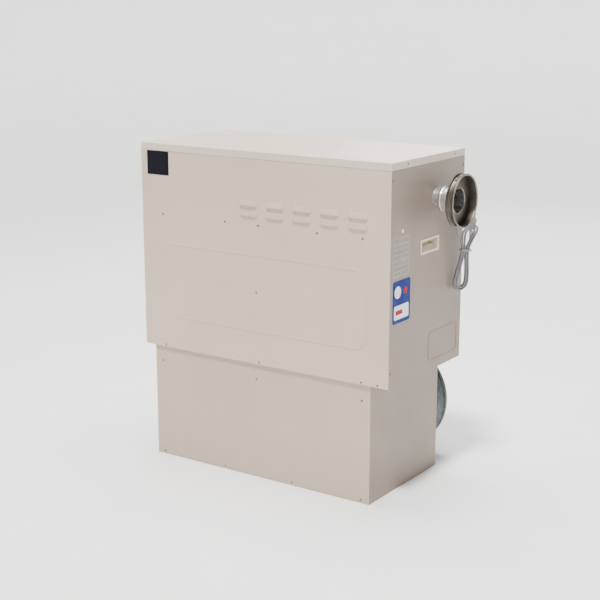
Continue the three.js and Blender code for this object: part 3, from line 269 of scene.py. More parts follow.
def drawn_metal(name, colour, roughness, tarnish, lines=ALONG_X, amount=0.45, painted_shade=None):
    """Rolled or spun metal with fine lines along one way and blotches of tarnish.

    The last argument is painted shade towards the back of a drum: (where it starts along X, where it is
    full, its colour).
    """
    look = Finish(name, roughness, 0.95)
    fine = look.noise(1.0, 3.0, 0.55, look.stretched(lines))
    base = look.ramp(fine, 0.32, 0.7, scaled_colour(colour, 0.80), scaled_colour(colour, 1.08))
    blotch = look.span(look.noise(16.0, 5.0, 0.62), 0.46, 0.70, 0.0, amount)
    base = look.mix(blotch, base, linear(tarnish))
    # Painted shade, darkening towards a drum's back plate.
    if painted_shade is not None:
        start, full, shade_colour = painted_shade
        base = look.mix(look.axis_share("X", start, full, 0.0, 0.8), base, linear(shade_colour))
    look.colour(base)
    look.gloss(look.span(look.noise(22.0, 4.0, 0.6), 0.3, 0.72, roughness - 0.06, roughness + 0.12))
    look.normal(look.bump(fine, 0.00006, 0.5))
    return look.material


def cast_metal(name, colour, roughness, grain=900.0, metallic=0.6):
    """Cast or enamelled metal: a broad mottle over a fine pitted skin."""
    look = Finish(name, roughness, metallic)
    dark = scaled_colour(colour, 0.78)
    look.colour(look.ramp(look.noise(24.0, 5.0, 0.65), 0.32, 0.68, dark, linear(colour)))
    look.gloss(look.span(look.noise(60.0, 3.0), 0.3, 0.7, roughness - 0.08, roughness + 0.1))
    pits = look.bump(look.cells(grain, "Distance"), 0.00015, 0.5)
    look.normal(look.bump(look.noise(40.0, 3.0), 0.0003, 0.4, pits))
    return look.material


def moulded(name, colour, shade, roughness, grain=1500.0, dirt=None):
    """Moulded plastic: fine leather-like grain, slight colour drift and handling marks."""
    look = Finish(name, roughness)
    base = look.ramp(look.noise(14.0, 4.0, 0.55), 0.3, 0.7, linear(shade), linear(colour))
    if dirt is not None:
        mark = look.span(look.noise(48.0, 5.0, 0.68), 0.56, 0.74, 0.0, 0.35)
        base = look.mix(mark, base, linear(dirt))
    look.colour(base)
    look.gloss(look.span(look.noise(34.0, 3.0), 0.3, 0.7, roughness - 0.06, roughness + 0.09))
    fine = look.bump(look.cells(grain, "Distance"), 0.00005, 0.45)
    look.normal(look.bump(look.noise(90.0, 2.0), 0.00012, 0.3, fine))
    return look.material


def printed(name, colour, shade, roughness, coat=0.2, shine=0.5):
    """A printed foil label: a slight mottle, fine dust in the print and a soft coat."""
    gloss = {"Coat_Weight": coat, "Coat_Roughness": 0.2, "Specular_IOR_Level": shine}
    look = Finish(name, roughness, **gloss)
    base = look.ramp(look.noise(30.0, 3.0, 0.5), 0.3, 0.72, linear(shade), linear(colour))
    fibre = look.grey(look.noise(800.0, 2.0, 0.6), 0.3, 0.7, 0.955, 1.0)
    look.colour(look.mix(1.0, base, fibre, "MULTIPLY"))
    look.gloss(look.span(look.noise(45.0, 4.0, 0.6), 0.3, 0.7, roughness - 0.05, roughness + 0.1))
    look.normal(look.bump(look.noise(38.0, 3.0), 0.00025, 0.3))
    return look.material


def circuit_board(name, track, board):
    """A lacquered board with a net of paler tracks."""
    look = Finish(name, 0.42, Coat_Weight=0.25)
    tracks = look.cells(260.0, "Distance", "DISTANCE_TO_EDGE")
    base = look.ramp(tracks, 0.02, 0.09, linear(track), linear(board))
    mottle = look.grey(look.noise(30.0, 3.0), 0.3, 0.7, 0.85, 1.0)
    look.colour(look.mix(1.0, base, mottle, "MULTIPLY"))
    look.normal(look.bump(tracks, 0.0002, 0.4))
    return look.material


# Painted shade in the flue drum, darkest at its back plate.
DRUM_PAINTED_SHADE = (0.645, 0.627, (52, 48, 42))

# Colours are sRGB: a coat's own, its lighter edge (partly wear, partly painted highlight) and its
# darker low streaks; a metal's own and its tarnish; a plastic's own, its darker drift and its marks;
# a print's own and its darker drift.
LOOKS = {
    "paint": powder_coat("cabinet_coat", (193, 173, 154), (219, 203, 187), (138, 119, 99)),
    # A darker copy of the cabinet coat for the ends: painted shade.
    "side_paint_painted_shade": powder_coat("side_coat_painted_shade", (134, 118, 104), (168, 151, 136), (104, 88, 74)),
    # A darker copy of the cabinet coat for the base: painted shade.
    "base_paint_painted_shade": powder_coat("base_coat_painted_shade", (180, 160, 142), (206, 189, 172), (120, 103, 86), 0.46),
    # A lighter copy of the cabinet coat for the lid: painted light on its top.
    "lid_paint": powder_coat("lid_coat_painted_light", (200, 184, 168), (224, 211, 198), (150, 134, 116), 0.36),
    "galvanised": zinc_sheet("zinc_spangle", (176, 178, 176)),
    # A darker copy of the zinc sheet for the ducts: painted shade.
    "duct_zinc_painted_shade": zinc_sheet("duct_zinc_painted_shade", (62, 67, 68), 0.42),
    "tube_bright": drawn_metal("flue_tube", (206, 204, 200), 0.27, (160, 154, 146), (380, 6, 6), 0.12),
    "flue_plate": drawn_metal("flue_plate", (128, 121, 112), 0.36, (98, 86, 66), (300, 22, 22), 0.5,
                              DRUM_PAINTED_SHADE),
    "exchanger_steel": drawn_metal("exchanger_steel", (156, 158, 160), 0.42, (118, 112, 104)),
    "cast_grey": cast_metal("cast_grey", (136, 139, 143), 0.52),
    "motor_paint": cast_metal("motor_enamel", (52, 56, 60), 0.45, 500.0, 0.2),
    "cream_plastic": moulded("cream_plastic", (212, 203, 184), (200, 190, 170), 0.42, 1500.0,
                             (158, 145, 122)),
    "black_plastic": moulded("black_plastic", (36, 37, 39), (27, 28, 30), 0.46, 1700.0, (70, 68, 66)),
    "grey_flex": moulded("cord_sheath", (124, 122, 127), (106, 104, 110), 0.4, 900.0, (84, 80, 79)),
    "grey_plastic": moulded("grey_plastic", (138, 136, 140), (122, 120, 124), 0.42, 1400.0, (98, 94, 92)),
    "red_plastic": moulded("red_plastic", (168, 44, 36), (148, 36, 30), 0.38, 1600.0, (96, 30, 26)),
    "board_green": circuit_board("board_green", (58, 104, 70), (38, 82, 50)),
    "brass": drawn_metal("brass", (196, 162, 96), 0.32, (134, 106, 62), (120, 120, 120), 0.4),
    "ceramic": moulded("ceramic", (236, 231, 220), (222, 215, 201), 0.34, 1100.0, (190, 178, 158)),
    "screw_zinc": drawn_metal("screw_zinc", (112, 106, 98), 0.4, (70, 62, 54), (500, 500, 500), 0.6),
    "dark_gap": moulded("dark_sealant", (40, 38, 36), (30, 29, 28), 0.7, 800.0, (58, 54, 50)),
    "badge_navy": printed("badge_navy", (14, 11, 22), (10, 8, 17), 0.5, 0.0, 0.1),
    "label_silver": printed("label_silver", (152, 144, 138), (142, 133, 127), 0.4),
    "label_field": printed("label_field", (132, 122, 116), (122, 113, 107), 0.44),
    "label_blue": printed("label_blue", (1, 38, 120), (1, 31, 106), 0.5, 0.0, 0.15),
    "label_white": printed("label_white", (228, 232, 240), (216, 220, 230), 0.36),
    "label_red": printed("label_red", (168, 12, 16), (146, 10, 14), 0.5, 0.0, 0.15),
}


# ---- making a piece ------------------------------------------------------------------------
def shade(data):
    data.polygons.foreach_set("use_smooth", [True] * len(data.polygons))


def split_edges(made, angle):
    split = made.modifiers.new("hard_edges", "EDGE_SPLIT")
    split.split_angle = math.radians(angle)


def round_edges(made, width, angle=32.0, segments=2):
    bevel = made.modifiers.new("soft_edges", "BEVEL")
    bevel.width = width * MM
    bevel.segments = segments
    bevel.limit_method = "ANGLE"
    bevel.angle_limit = math.radians(angle)
    bevel.harden_normals = True
    bevel.miter_outer = "MITER_ARC"


def add_mesh(name, shape, material):
    """An object of a shape's corners, given in millimetres, and its faces."""
    points, faces = shape
    data = bpy.data.meshes.new(name)
    data.from_pydata([tuple(MM * c for c in point) for point in points], [], faces)
    data.validate()
    shade(data)
    data.materials.append(material)
    made = bpy.data.objects.new(name, data)
    bpy.context.scene.collection.objects.link(made)
    return made


def add_piece(name, shape, look, hard=36.0, body="furnace_body", edge=0.0, solid=0.0):
    """A mesh piece that rides on a body of the part: hard is the angle of its sharp edges."""
    made = add_mesh(name, shape, LOOKS[look])
    if solid:
        thick = made.modifiers.new("thickness", "SOLIDIFY")
        thick.thickness = solid * MM
        thick.offset = -1.0
        thick.use_even_offset = True
    if edge:
        round_edges(made, edge)
    split_edges(made, hard)
    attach(made, body)
    return made


def basis(along):
    """Two directions square to a direction, right-handed with it."""
    along = Vector(along).normalized()
    helper = Vector((0, 0, 1)) if abs(along.z) < 0.9 else Vector((0, 1, 0))
    first = helper.cross(along).normalized()
    return first, along.cross(first).normalized(), along


def rounded(points, radius, steps=4, closed=True):
    """The corners of an outline of (a, b) points, each turned into a small arc."""
    made = []
    count = len(points)
    for index, point in enumerate(points):
        here = Vector(point)
        if not closed and index in (0, count - 1):
            made.append(tuple(here))
            continue
        before = Vector(points[index - 1]) - here
        after = Vector(points[(index + 1) % count]) - here
        reach = min(radius, 0.45 * before.length, 0.45 * after.length)
        start = here + before.normalized() * reach
        end = here + after.normalized() * reach
        for step in range(steps + 1):
            share = step / steps
            low = start.lerp(here, share)
            high = here.lerp(end, share)
            made.append(tuple(low.lerp(high, share)))
    return made


def lathe(profile, axis, centre, sides, closed=True):
    """Corners and faces of a profile of (radius, station) points turned round an axis."""
    first, second, along = basis(axis)
    centre = Vector(centre)
    points = []
    for radius, station in profile:
        for side in range(sides):
            angle = 2 * math.pi * side / sides
            ray = first * math.cos(angle) + second * math.sin(angle)
            points.append(centre + along * station + ray * radius)
    faces = []
    rows = len(profile)
    last = rows if closed else rows - 1
    for row in range(last):
        low = row * sides
        high = ((row + 1) % rows) * sides
        for side in range(sides):
            turn = (side + 1) % sides
            faces.append((low + side, low + turn, high + turn, high + side))
    return points, faces


def loft(rings, capped=True):
    """Corners and faces of closed rings of equal counts, joined one to the next."""
    points = [point for ring in rings for point in ring]
    count = len(rings[0])
    faces = []
    for row in range(len(rings) - 1):
        low = row * count
        high = low + count
        for side in range(count):
            turn = (side + 1) % count
            faces.append((low + side, low + turn, high + turn, high + side))
    if capped:
        faces.append(tuple(reversed(range(count))))
        faces.append(tuple(range(len(points) - count, len(points))))
    return points, faces


def merged(*shapes):
    """The corners and faces of several shapes as one."""
    points = []
    faces = []
    for more_points, more_faces in shapes:
        start = len(points)
        points.extend(more_points)
        faces.extend(tuple(start + corner for corner in face) for face in more_faces)
    return points, faces


def slab(x, y, z):
    """Corners and faces of a box between pairs of limits."""
    points = [(x[i], y[j], z[k]) for k in (0, 1) for j in (0, 1) for i in (0, 1)]
    faces = [(0, 2, 3, 1), (4, 5, 7, 6), (0, 1, 5, 4), (2, 6, 7, 3), (0, 4, 6, 2), (1, 3, 7, 5)]
    return points, faces


# ---- the supply cord: one curve from the gland to the plug ------------------------------------
CORD_RADIUS = 3.75
CORD_START = 30.3
HANK_ACROSS = Vector((0.45, 0.893, 0))
HANK_OUT = Vector((0.893, -0.45, 0))
HANK_UPPER = 95.0
HANK_LOWER = 146.0
HANK_HALF = 30.0
WAIST_HALF = 15.8
LOOP_STEP = 8.9
WAIST_STEP = 9.3
LAYER_HALF = 4.4
LAYER_FAN = 0.03
HANK_TURNS = 3.5
CLIMB_FROM = 1.5
CLIMB_TURNS = 0.5
STEPS_PER_LOOP = 24
RUN_SHARES = (-1, -0.62, -0.29, -0.07, 0.12, 0.52, 1)
HANK_START = ((-19, 5.4, 16),)
HANK_FINISH = ((20.2, -8.6, 21), (24.5, -16, 31), (25.5, -21.5, 42), (25.5, -24.5, 51))
FREE_PLACES = (
    (596, 141, 995), (601, 144, 981), (595, 149, 962), (583, 156, 940),
    (575, 165, 916), (575, 176, 894), (580, 187, 877),
)


def hank_middle(rise):
    """The hank's middle line at a height above its tie; it bows out from the panel."""
    bow = 0.002 * max(0.0, rise) ** 2
    return Vector((TIE.x + 0.1 * rise + bow, TIE.y + 0.06 * rise, TIE.z + rise))


def hank_place(across, out, rise):
    return hank_middle(rise) + HANK_ACROSS * across + HANK_OUT * out


def hank_walk():
    """One loop's stations, from just below the waist on the way down: (kind, side, value)."""
    up = [("run", 1, share) for share in RUN_SHARES]
    down = [("run", -1, share) for share in reversed(RUN_SHARES)]
    upper = [("arc", 1, math.pi * (i + 1) / 6) for i in range(5)]
    lower = [("arc", -1, math.pi * (i + 1) / 6) for i in range(5)]
    below = next(i for i, place in enumerate(down) if place[2] < 0)
    return down[below:] + lower + up + upper + down[:below]


def hank_station(walk, step):
    """The place of a step along the hank; each loop lies inside the one before it."""
    turn = step / STEPS_PER_LOOP
    kind, side, value = walk[step % STEPS_PER_LOOP]
    inset = min(turn, HANK_TURNS - turn)
    layer = 1 - 2 * min(max((turn - CLIMB_FROM) / CLIMB_TURNS, 0), 1)
    half = HANK_HALF - LOOP_STEP * inset
    if kind == "run":
        reach = HANK_UPPER - HANK_HALF if value > 0 else HANK_LOWER - HANK_HALF
        rise = value * reach
        drawn = math.cos(math.pi / 2 * value) ** 2
        waist = WAIST_HALF - WAIST_STEP * inset
        across = side * (half + (waist - half) * drawn)
    else:
        end = HANK_UPPER - HANK_HALF if side > 0 else HANK_HALF - HANK_LOWER
        across = side * half * math.cos(value)
        rise = end + side * half * math.sin(value)
    return hank_place(across, layer * (LAYER_HALF + LAYER_FAN * max(0, rise)), rise)


def hank_route():
    """The wound length, from the end of the free stretch to the plug."""
    walk = hank_walk()
    stations = [hank_place(*place) for place in HANK_START]
    last = round(HANK_TURNS * STEPS_PER_LOOP)
    stations += [hank_station(walk, step) for step in range(-1, last + 1)]
    return stations + [hank_place(*place) for place in HANK_FINISH]


def centripetal(a, b, c, d, share):
    """A point between b and c on the centripetal Catmull-Rom curve through four points."""
    t0 = 0.0
    t1 = t0 + max((b - a).length, 1e-6) ** 0.5
    t2 = t1 + max((c - b).length, 1e-6) ** 0.5
    t3 = t2 + max((d - c).length, 1e-6) ** 0.5
    t = t1 + (t2 - t1) * share
    ab = a * ((t1 - t) / (t1 - t0)) + b * ((t - t0) / (t1 - t0))
    bc = b * ((t2 - t) / (t2 - t1)) + c * ((t - t1) / (t2 - t1))
    cd = c * ((t3 - t) / (t3 - t2)) + d * ((t - t2) / (t3 - t2))
    abc = ab * ((t2 - t) / (t2 - t0)) + bc * ((t - t0) / (t2 - t0))
    bcd = bc * ((t3 - t) / (t3 - t1)) + cd * ((t - t1) / (t3 - t1))
    return abc * ((t2 - t) / (t2 - t1)) + bcd * ((t - t1) / (t2 - t1))


def smoothed(points, steps):
    """A finer path through all the points."""
    ends = [points[0] * 2 - points[1], *points, points[-1] * 2 - points[-2]]
    made = []
    for index in range(len(points) - 1):
        for step in range(steps):
            made.append(centripetal(*ends[index:index + 4], step / steps))
    return made + [points[-1]]


def free_stretch(hank):
    """The cord from the gland's mouth down to the hank."""
    start = GLAND + Vector((CORD_START, 0, 0))
    straight = start + Vector((2 * CORD_RADIUS, 0, 0))
    back = (hank[0] - hank[1]).normalized()
    last = hank[0] + back * (0.3 + 2 * CORD_RADIUS)
    places = [Vector(place) for place in FREE_PLACES]
    return [start, *smoothed([straight, *places, last], 3)]


def add_cord(points):
    data = bpy.data.curves.new("supply_flex", "CURVE")
    data.dimensions = "3D"
    data.bevel_depth = CORD_RADIUS * MM
    data.bevel_resolution = 5
    data.use_fill_caps = True
    spline = data.splines.new("POLY")
    spline.points.add(len(points) - 1)
    for point, place in zip(spline.points, points):
        point.co = (*(place * MM), 1.0)
    spline.use_smooth = True
    data.materials.append(LOOKS["grey_flex"])
    made = bpy.data.objects.new("supply_flex", data)
    bpy.context.scene.collection.objects.link(made)
    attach(made, "furnace_body")
    return made


BOOT_LENGTH = 29.9
BOOT_RIBS = 6
BOOT_RIBS_FROM = 8.0
BOOT_WIDE = 9.9
BOOT_TAPER = 4.4
NUT_OUTLINE = ((9.4, -7.6), (13.8, -7.6), (13.8, -1.9), (9.4, -1.9))


def boot_profile():
    """The gland's flange and its tapering boot with shallow ribs, from the panel outwards."""
    profile = [(8.9, -2.4), (8.9, 0.35), (13.9, 0.35), (13.9, 2.6), (13.3, 3.2)]
    profile += [(10.6, 3.9), (10.0, 6.0)]
    step = (BOOT_LENGTH - BOOT_RIBS_FROM) / BOOT_RIBS
    for rib in range(BOOT_RIBS):
        station = BOOT_RIBS_FROM + step * rib
        radius = BOOT_WIDE - BOOT_TAPER * rib / BOOT_RIBS
        profile += [(radius, station), (radius - 0.1, station + 0.45 * step)]
        profile += [(radius - 1.2, station + 0.58 * step), (radius - 1.3, station + 0.88 * step)]
    profile += [(5.3, BOOT_LENGTH - 0.6), (4.9, BOOT_LENGTH)]
    return profile + [(3.8, BOOT_LENGTH), (3.8, -2.4)]


def add_gland():
    """The cord's boot outside the panel and its nut inside."""
    nut = lathe(NUT_OUTLINE, (1, 0, 0), GLAND, 6)
    boot = lathe(boot_profile(), (1, 0, 0), GLAND, 48)
    made = add_piece("cord_boot", merged(boot, nut), "grey_plastic", 40.0)
    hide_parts("cord_gland")
    return made


TIE_HALF_ACROSS = 19.9
TIE_HALF_OUT = 8.5
TIE_BEND = 3.6
TIE_SECTION = ((0.3, -3.7), (1.9, -3.7), (2.15, -3.3), (2.15, 3.3), (1.9, 3.7), (0.3, 3.7))
TAIL_STEPS = 9
TAIL_TWIST = 1.1
TAIL_THICK = 0.9


def tie_axes():
    """The tie's own directions: across the hank, out of it and along it."""
    up = (hank_place(0, 0, 1) - hank_place(0, 0, -1)).normalized()
    out = (HANK_OUT - up * HANK_OUT.dot(up)).normalized()
    return up.cross(out), out, up


def tie_place(across, out, height):
    directions = tie_axes()
    place = hank_middle(0)
    for direction, distance in zip(directions, (across, out, height)):
        place = place + direction * distance
    return place


def capsule_ring(half_across, half_out, bend, steps):
    """A closed outline with round corners in the tie's own plane."""
    outline = []
    for corner in range(4):
        side = 1 if corner in (0, 3) else -1
        front = 1 if corner in (0, 1) else -1
        for step in range(steps + 1):
            angle = math.pi / 2 * (corner + step / steps)
            a = side * (half_across - bend) + bend * math.cos(angle)
            b = front * (half_out - bend) + bend * math.sin(angle)
            outline.append((a, b))
    return outline


def tie_band():
    """The strap round the hank's waist."""
    rings = []
    for offset, height in TIE_SECTION:
        outline = capsule_ring(TIE_HALF_ACROSS + offset, TIE_HALF_OUT + offset, TIE_BEND + offset, 6)
        rings.append([tie_place(a, b, height) for a, b in outline])
    rings.append(rings[0])
    return loft(rings, capped=False)


def tie_tail():
    """The strap's two ends twisted together at one side of the hank."""
    rings = []
    for step in range(TAIL_STEPS):
        half = 2.6 - 0.12 * step
        across = -20.8 - 0.5 * step
        out = 1.0 + 0.35 * step
        ring = []
        for corner in range(8):
            turn = TAIL_TWIST * step + math.pi / 4 * corner
            a = half * math.cos(turn)
            b = TAIL_THICK * math.sin(turn) + 0.3 * math.sin(2 * turn)
            ring.append(tie_place(across, out + b, a - 0.25 * step))
        rings.append(ring)
    return loft(rings)


def add_tie():
    made = add_piece("hank_band", merged(tie_band(), tie_tail()), "grey_plastic", 50.0)
    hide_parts("hank_tie")
    return made


def superellipse(half_x, half_y, power, count):
    """A closed outline between an ellipse (power 2) and a rectangle."""
    ring = []
    for index in range(count):
        angle = 2 * math.pi * index / count
        c = math.cos(angle)
        s = math.sin(angle)
        x = math.copysign(abs(c) ** (2 / power), c) * half_x
        y = math.copysign(abs(s) ** (2 / power), s) * half_y
        ring.append((x, y))
    return ring


# Each section of the plug: its station, half width, half height and superellipse power.
PLUG_SECTIONS = (
    (0.0, 4.7, 4.7, 2.0), (0.6, 5.2, 5.2, 2.0), (5.0, 5.6, 5.6, 2.0), (5.6, 4.9, 4.9, 2.0),
    (7.6, 4.9, 4.9, 2.0), (8.2, 6.0, 6.0, 2.0), (12.4, 6.5, 6.4, 2.0), (13.0, 5.6, 5.6, 2.0),
    (15.0, 5.7, 5.6, 2.0), (15.6, 7.0, 6.8, 2.0), (20.0, 7.9, 7.4, 2.1), (23.0, 11.0, 8.6, 2.2),
    (26.0, 12.2, 9.3, 2.3), (30.0, 12.4, 9.4, 2.3), (33.0, 14.6, 10.6, 2.3),
    (36.0, 16.2, 11.5, 2.3), (40.0, 16.9, 11.9, 2.35), (55.0, 16.9, 11.9, 2.35),
    (57.2, 16.3, 11.4, 2.35), (58.0, 15.2, 10.5, 2.3),
)


# Each pin's place and turn, and each pin section's station and shares of thickness and width.
PIN_PLACES = ((-7.9, 3.0, 30), (7.9, 3.0, -30), (0.0, -6.5, 0))
PIN_SECTIONS = ((57.0, 1.0, 1.0), (73.6, 1.0, 1.0), (74.8, 0.6, 0.82))
PIN_HALF_THICK = 0.8
PIN_HALF_WIDE = 3.1


def plug_pin(place):
    """A flat pin with round corners and a slightly drawn-in tip."""
    rings = []
    for station, thin, wide in PIN_SECTIONS:
        a = PIN_HALF_THICK * thin
        b = PIN_HALF_WIDE * wide
        corners = rounded([(-a, -b), (a, -b), (a, b), (-a, b)], 0.4, 3)
        rings.append([place @ Vector((*corner, station)) for corner in corners])
    return loft(rings)


def add_plug(route):
    """The moulded plug: a ribbed boot, a waisted body and three flat pins."""
    way = (route[-1] - route[-2]).normalized()
    turn = Vector((0, 0, 1)).rotation_difference(way).to_matrix().to_4x4()
    place = Matrix.Translation(route[-1] + way * 0.3) @ turn
    rings = []
    for station, half_x, half_y, power in PLUG_SECTIONS:
        ring = superellipse(half_x, half_y, power, 40)
        rings.append([place @ Vector((x, y, station)) for x, y in ring])
    body = add_piece("plug_body", loft(rings), "grey_plastic", 42.0, edge=0.35)
    pins = []
    for x, y, angle in PIN_PLACES:
        shift = Matrix.Translation(Vector((x, y, 0)))
        spin = Matrix.Rotation(math.radians(angle), 4, "Z")
        pins.append(plug_pin(place @ shift @ spin))
    blades = add_piece("plug_pins", merged(*pins), "brass")
    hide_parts("mains_plug")
    return body, blades


def add_supply_cord():
    hank = hank_route()
    route = free_stretch(hank)[:-1] + [hank[0] + (hank[0] - hank[1]).normalized() * 0.3]
    points = [route[0], *smoothed(route[1:] + hank[1:], 3)]
    flex = add_cord(points)
    gland = add_gland()
    tie = add_tie()
    body, blades = add_plug(hank)
    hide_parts("supply_cord", "cord_hank")


add_supply_cord()


# ---- the carried-over solids: their own finish and softened edges -----------------------------
NODE_LOOKS = {
    # The ends of the cabinet and of the base take the darker copy of the coat: painted shade.
    "cabinet_right_side": "side_paint_painted_shade", "cabinet_left_side": "side_paint_painted_shade",
    # The base front and back take a darker copy of the coat: painted shade.
    "base_front_panel": "base_paint_painted_shade", "base_back_panel": "base_paint_painted_shade",
    "base_right_side": "side_paint_painted_shade", "base_left_side": "side_paint_painted_shade",
}
EDGE_WIDTHS = {
    "lid": 1.3, "right_carry_handle": 0.9, "left_carry_handle": 0.9, "gas_valve": 1.2,
    "gas_valve_knob": 0.6, "burner_manifold": 0.6, "blower_motor": 1.0,
}
SHEET_EDGE = 0.6
WELD_REACH = 2e-6
SPLIT_ANGLE = 34.0
BEADED_SIDE = "cabinet_right_side"
BEADED_SPLIT_ANGLE = 14.0
FLAT_SHEETS = (
    "lid", "base_front_panel", "base_back_panel", "base_right_side", "base_left_side",
    "cabinet_left_side", "cabinet_back_panel", "base_floor_tray", "top_frame",
)


def dress(node, made):
    """Gives a carried-over solid its finish, and modifiers that soften and clean its shading."""
    own = made.data.materials[0].name.split(".")[0] if made.data.materials else "paint"
    look = NODE_LOOKS.get(node, own)
    made.data.materials.clear()
    made.data.materials.append(LOOKS[look])
    if "custom_normal" in made.data.attributes:
        made.data.attributes.remove(made.data.attributes["custom_normal"])
    shade(made.data)
    weld = made.modifiers.new("weld", "WELD")
    weld.merge_threshold = WELD_REACH
    if node in FLAT_SHEETS:
        plain = made.modifiers.new("plain_faces", "DECIMATE")
        plain.decimate_type = "DISSOLVE"
        plain.angle_limit = math.radians(0.5)
    if node in FLAT_SHEETS or node in EDGE_WIDTHS:
        round_edges(made, EDGE_WIDTHS.get(node, SHEET_EDGE), segments=3 if node == "lid" else 2)
    split_edges(made, BEADED_SPLIT_ANGLE if node == BEADED_SIDE else SPLIT_ANGLE)


for node_name, node_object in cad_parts.items():
    dress(node_name, node_object)


# ---- the front panel: one pressed sheet with a bead and ten louvres -----------------------------
LOUVRE_COLUMNS = 5
LOUVRE_FIRST = -62.5
LOUVRE_PITCH = 111.9
LOUVRE_WIDTH = 76.0
LOUVRE_TALL = 19.0
LOUVRE_PROUD = 7.6
LOUVRE_ROWS = (967.0, 1003.0)
LOUVRE_END = 7.0
FRONT_BEAD = {"left": -426.0, "right": 464.0, "bottom": 549.0, "top": 835.0, "radius": 50.0}
BEAD_WIDTH = 13.0
BEAD_HEIGHT = 3.4
BEAD_ZONE = 54.0
RIM_RADIUS = 1.6
RIM_ZONE = 2.0
COARSE_STEP = 42.0
RIM_STEP = 0.4
BEAD_STEP = 2.6
HOOD_STEP = 1.35
HOOD_LONG_STEP = 4.0
HOOD_END_STEP = 0.7
PRESS_SHEET = 1.2
FOLD_INSET = 1.8
FOLD_DEPTH = 18.0
FOLD_TOP = 1133.5


def spread(start, end, step):
    """Even places from start to end, at most a step apart."""
    count = max(1, math.ceil((end - start) / step))
    return [start + (end - start) * index / count for index in range(count + 1)]


def grid_lines(low, high, zones, coarse):
    """Sorted places of grid lines: fine inside each zone, coarse between them."""
    lines = {round(low, 4), round(high, 4)}
    lines.update(round(value, 4) for value in spread(low, high, coarse))
    for start, end, _ in zones:
        lines = {v for v in lines if not start < v < end or v in (low, high)}
    for start, end, step in zones:
        lines.update(round(v, 4) for v in spread(max(low, start), min(high, end), step))
    ordered = sorted(lines)
    kept = [ordered[0]]
    for value in ordered[1:]:
        if value - kept[-1] > 0.05:
            kept.append(value)
    return kept


def bead_rise(x, z, bead, width, height):
    """Height of a rectangular bead with round corners at a place on its sheet."""
    middle_x = (bead["left"] + bead["right"]) / 2
    middle_z = (bead["bottom"] + bead["top"]) / 2
    radius = bead["radius"] - width / 2
    half_x = (bead["right"] - bead["left"]) / 2 - width / 2
    half_z = (bead["top"] - bead["bottom"]) / 2 - width / 2
    over_x = abs(x - middle_x) - (half_x - radius)
    over_z = abs(z - middle_z) - (half_z - radius)
    outside = math.hypot(max(over_x, 0), max(over_z, 0))
    away = abs(outside + min(max(over_x, over_z), 0) - radius)
    share = min(1.0, away / (width / 2))
    flat = min(1.0, max(0.0, (share - 0.25) / 0.75))
    return height * (0.5 + 0.5 * math.cos(math.pi * flat))


def hood_rise(u, v):
    """Height of a louvre's hood: u from -1 to 1 along it, v from 0 at its open lip to 1."""
    ends = max(0.0, 1 - abs(u) ** 6) ** 0.6
    back = max(0.0, 1 - v) ** 0.8 * (1 + 0.35 * v)
    return LOUVRE_PROUD * ends * back


def louvre_at(x, z):
    """(u, v) in the louvre that a place lies in, or None."""
    for low in LOUVRE_ROWS:
        if not low <= z <= low + LOUVRE_TALL:
            continue
        for column in range(LOUVRE_COLUMNS):
            left = LOUVRE_FIRST + column * LOUVRE_PITCH
            if left < x < left + LOUVRE_WIDTH:
                u = 2 * (x - left) / LOUVRE_WIDTH - 1
                return u, (z - low) / LOUVRE_TALL
    return None


def rim_drop(value, low, high):
    """How far a sheet's rolled edge falls back at a place near its ends."""
    near = min(value - low, high - value)
    if near >= RIM_RADIUS:
        return 0.0
    return RIM_RADIUS - math.sqrt(max(0.0, RIM_RADIUS ** 2 - (RIM_RADIUS - near) ** 2))


def edge_zones(low, high, bead_low, bead_high):
    """Zones of fine grid lines at a sheet's two rims and a bead's two sides."""
    return [
        (low, low + RIM_ZONE, RIM_STEP), (high - RIM_ZONE, high, RIM_STEP),
        (bead_low - 2, bead_low + BEAD_ZONE, BEAD_STEP),
        (bead_high - BEAD_ZONE, bead_high + 2, BEAD_STEP),
    ]


def front_rows():
    """The grid's z lines; a louvre's lip has two rows at the same height."""
    zones = edge_zones(BASE_HEIGHT, PANEL_TOP, FRONT_BEAD["bottom"], FRONT_BEAD["top"])
    for low in LOUVRE_ROWS:
        zones.append((low, low + LOUVRE_TALL, HOOD_STEP))
    rows = []
    for z in grid_lines(BASE_HEIGHT, PANEL_TOP, zones, COARSE_STEP):
        rows.append((z, False))
        if any(abs(z - low) < 1e-3 for low in LOUVRE_ROWS):
            rows.append((z, True))
    return rows


def front_columns():
    """The grid's x lines."""
    zones = edge_zones(CABINET_LEFT, CABINET_RIGHT, FRONT_BEAD["left"], FRONT_BEAD["right"])
    for column in range(LOUVRE_COLUMNS):
        start = LOUVRE_FIRST + column * LOUVRE_PITCH
        end = start + LOUVRE_WIDTH
        zones.append((start, start + LOUVRE_END, HOOD_END_STEP))
        zones.append((start + LOUVRE_END, end - LOUVRE_END, HOOD_LONG_STEP))
        zones.append((end - LOUVRE_END, end, HOOD_END_STEP))
    return grid_lines(CABINET_LEFT, CABINET_RIGHT, zones, COARSE_STEP)


def front_height(x, z, raised):
    """How far the sheet stands out of its face at a place."""
    found = louvre_at(x, z)
    rise = bead_rise(x, z, FRONT_BEAD, BEAD_WIDTH, BEAD_HEIGHT)
    at_lip = found is not None and found[1] < 1e-4
    if found is not None and (raised or not at_lip):
        rise += hood_rise(*found)
    rise -= rim_drop(x, CABINET_LEFT, CABINET_RIGHT)
    return rise - rim_drop(z, BASE_HEIGHT, PANEL_TOP)


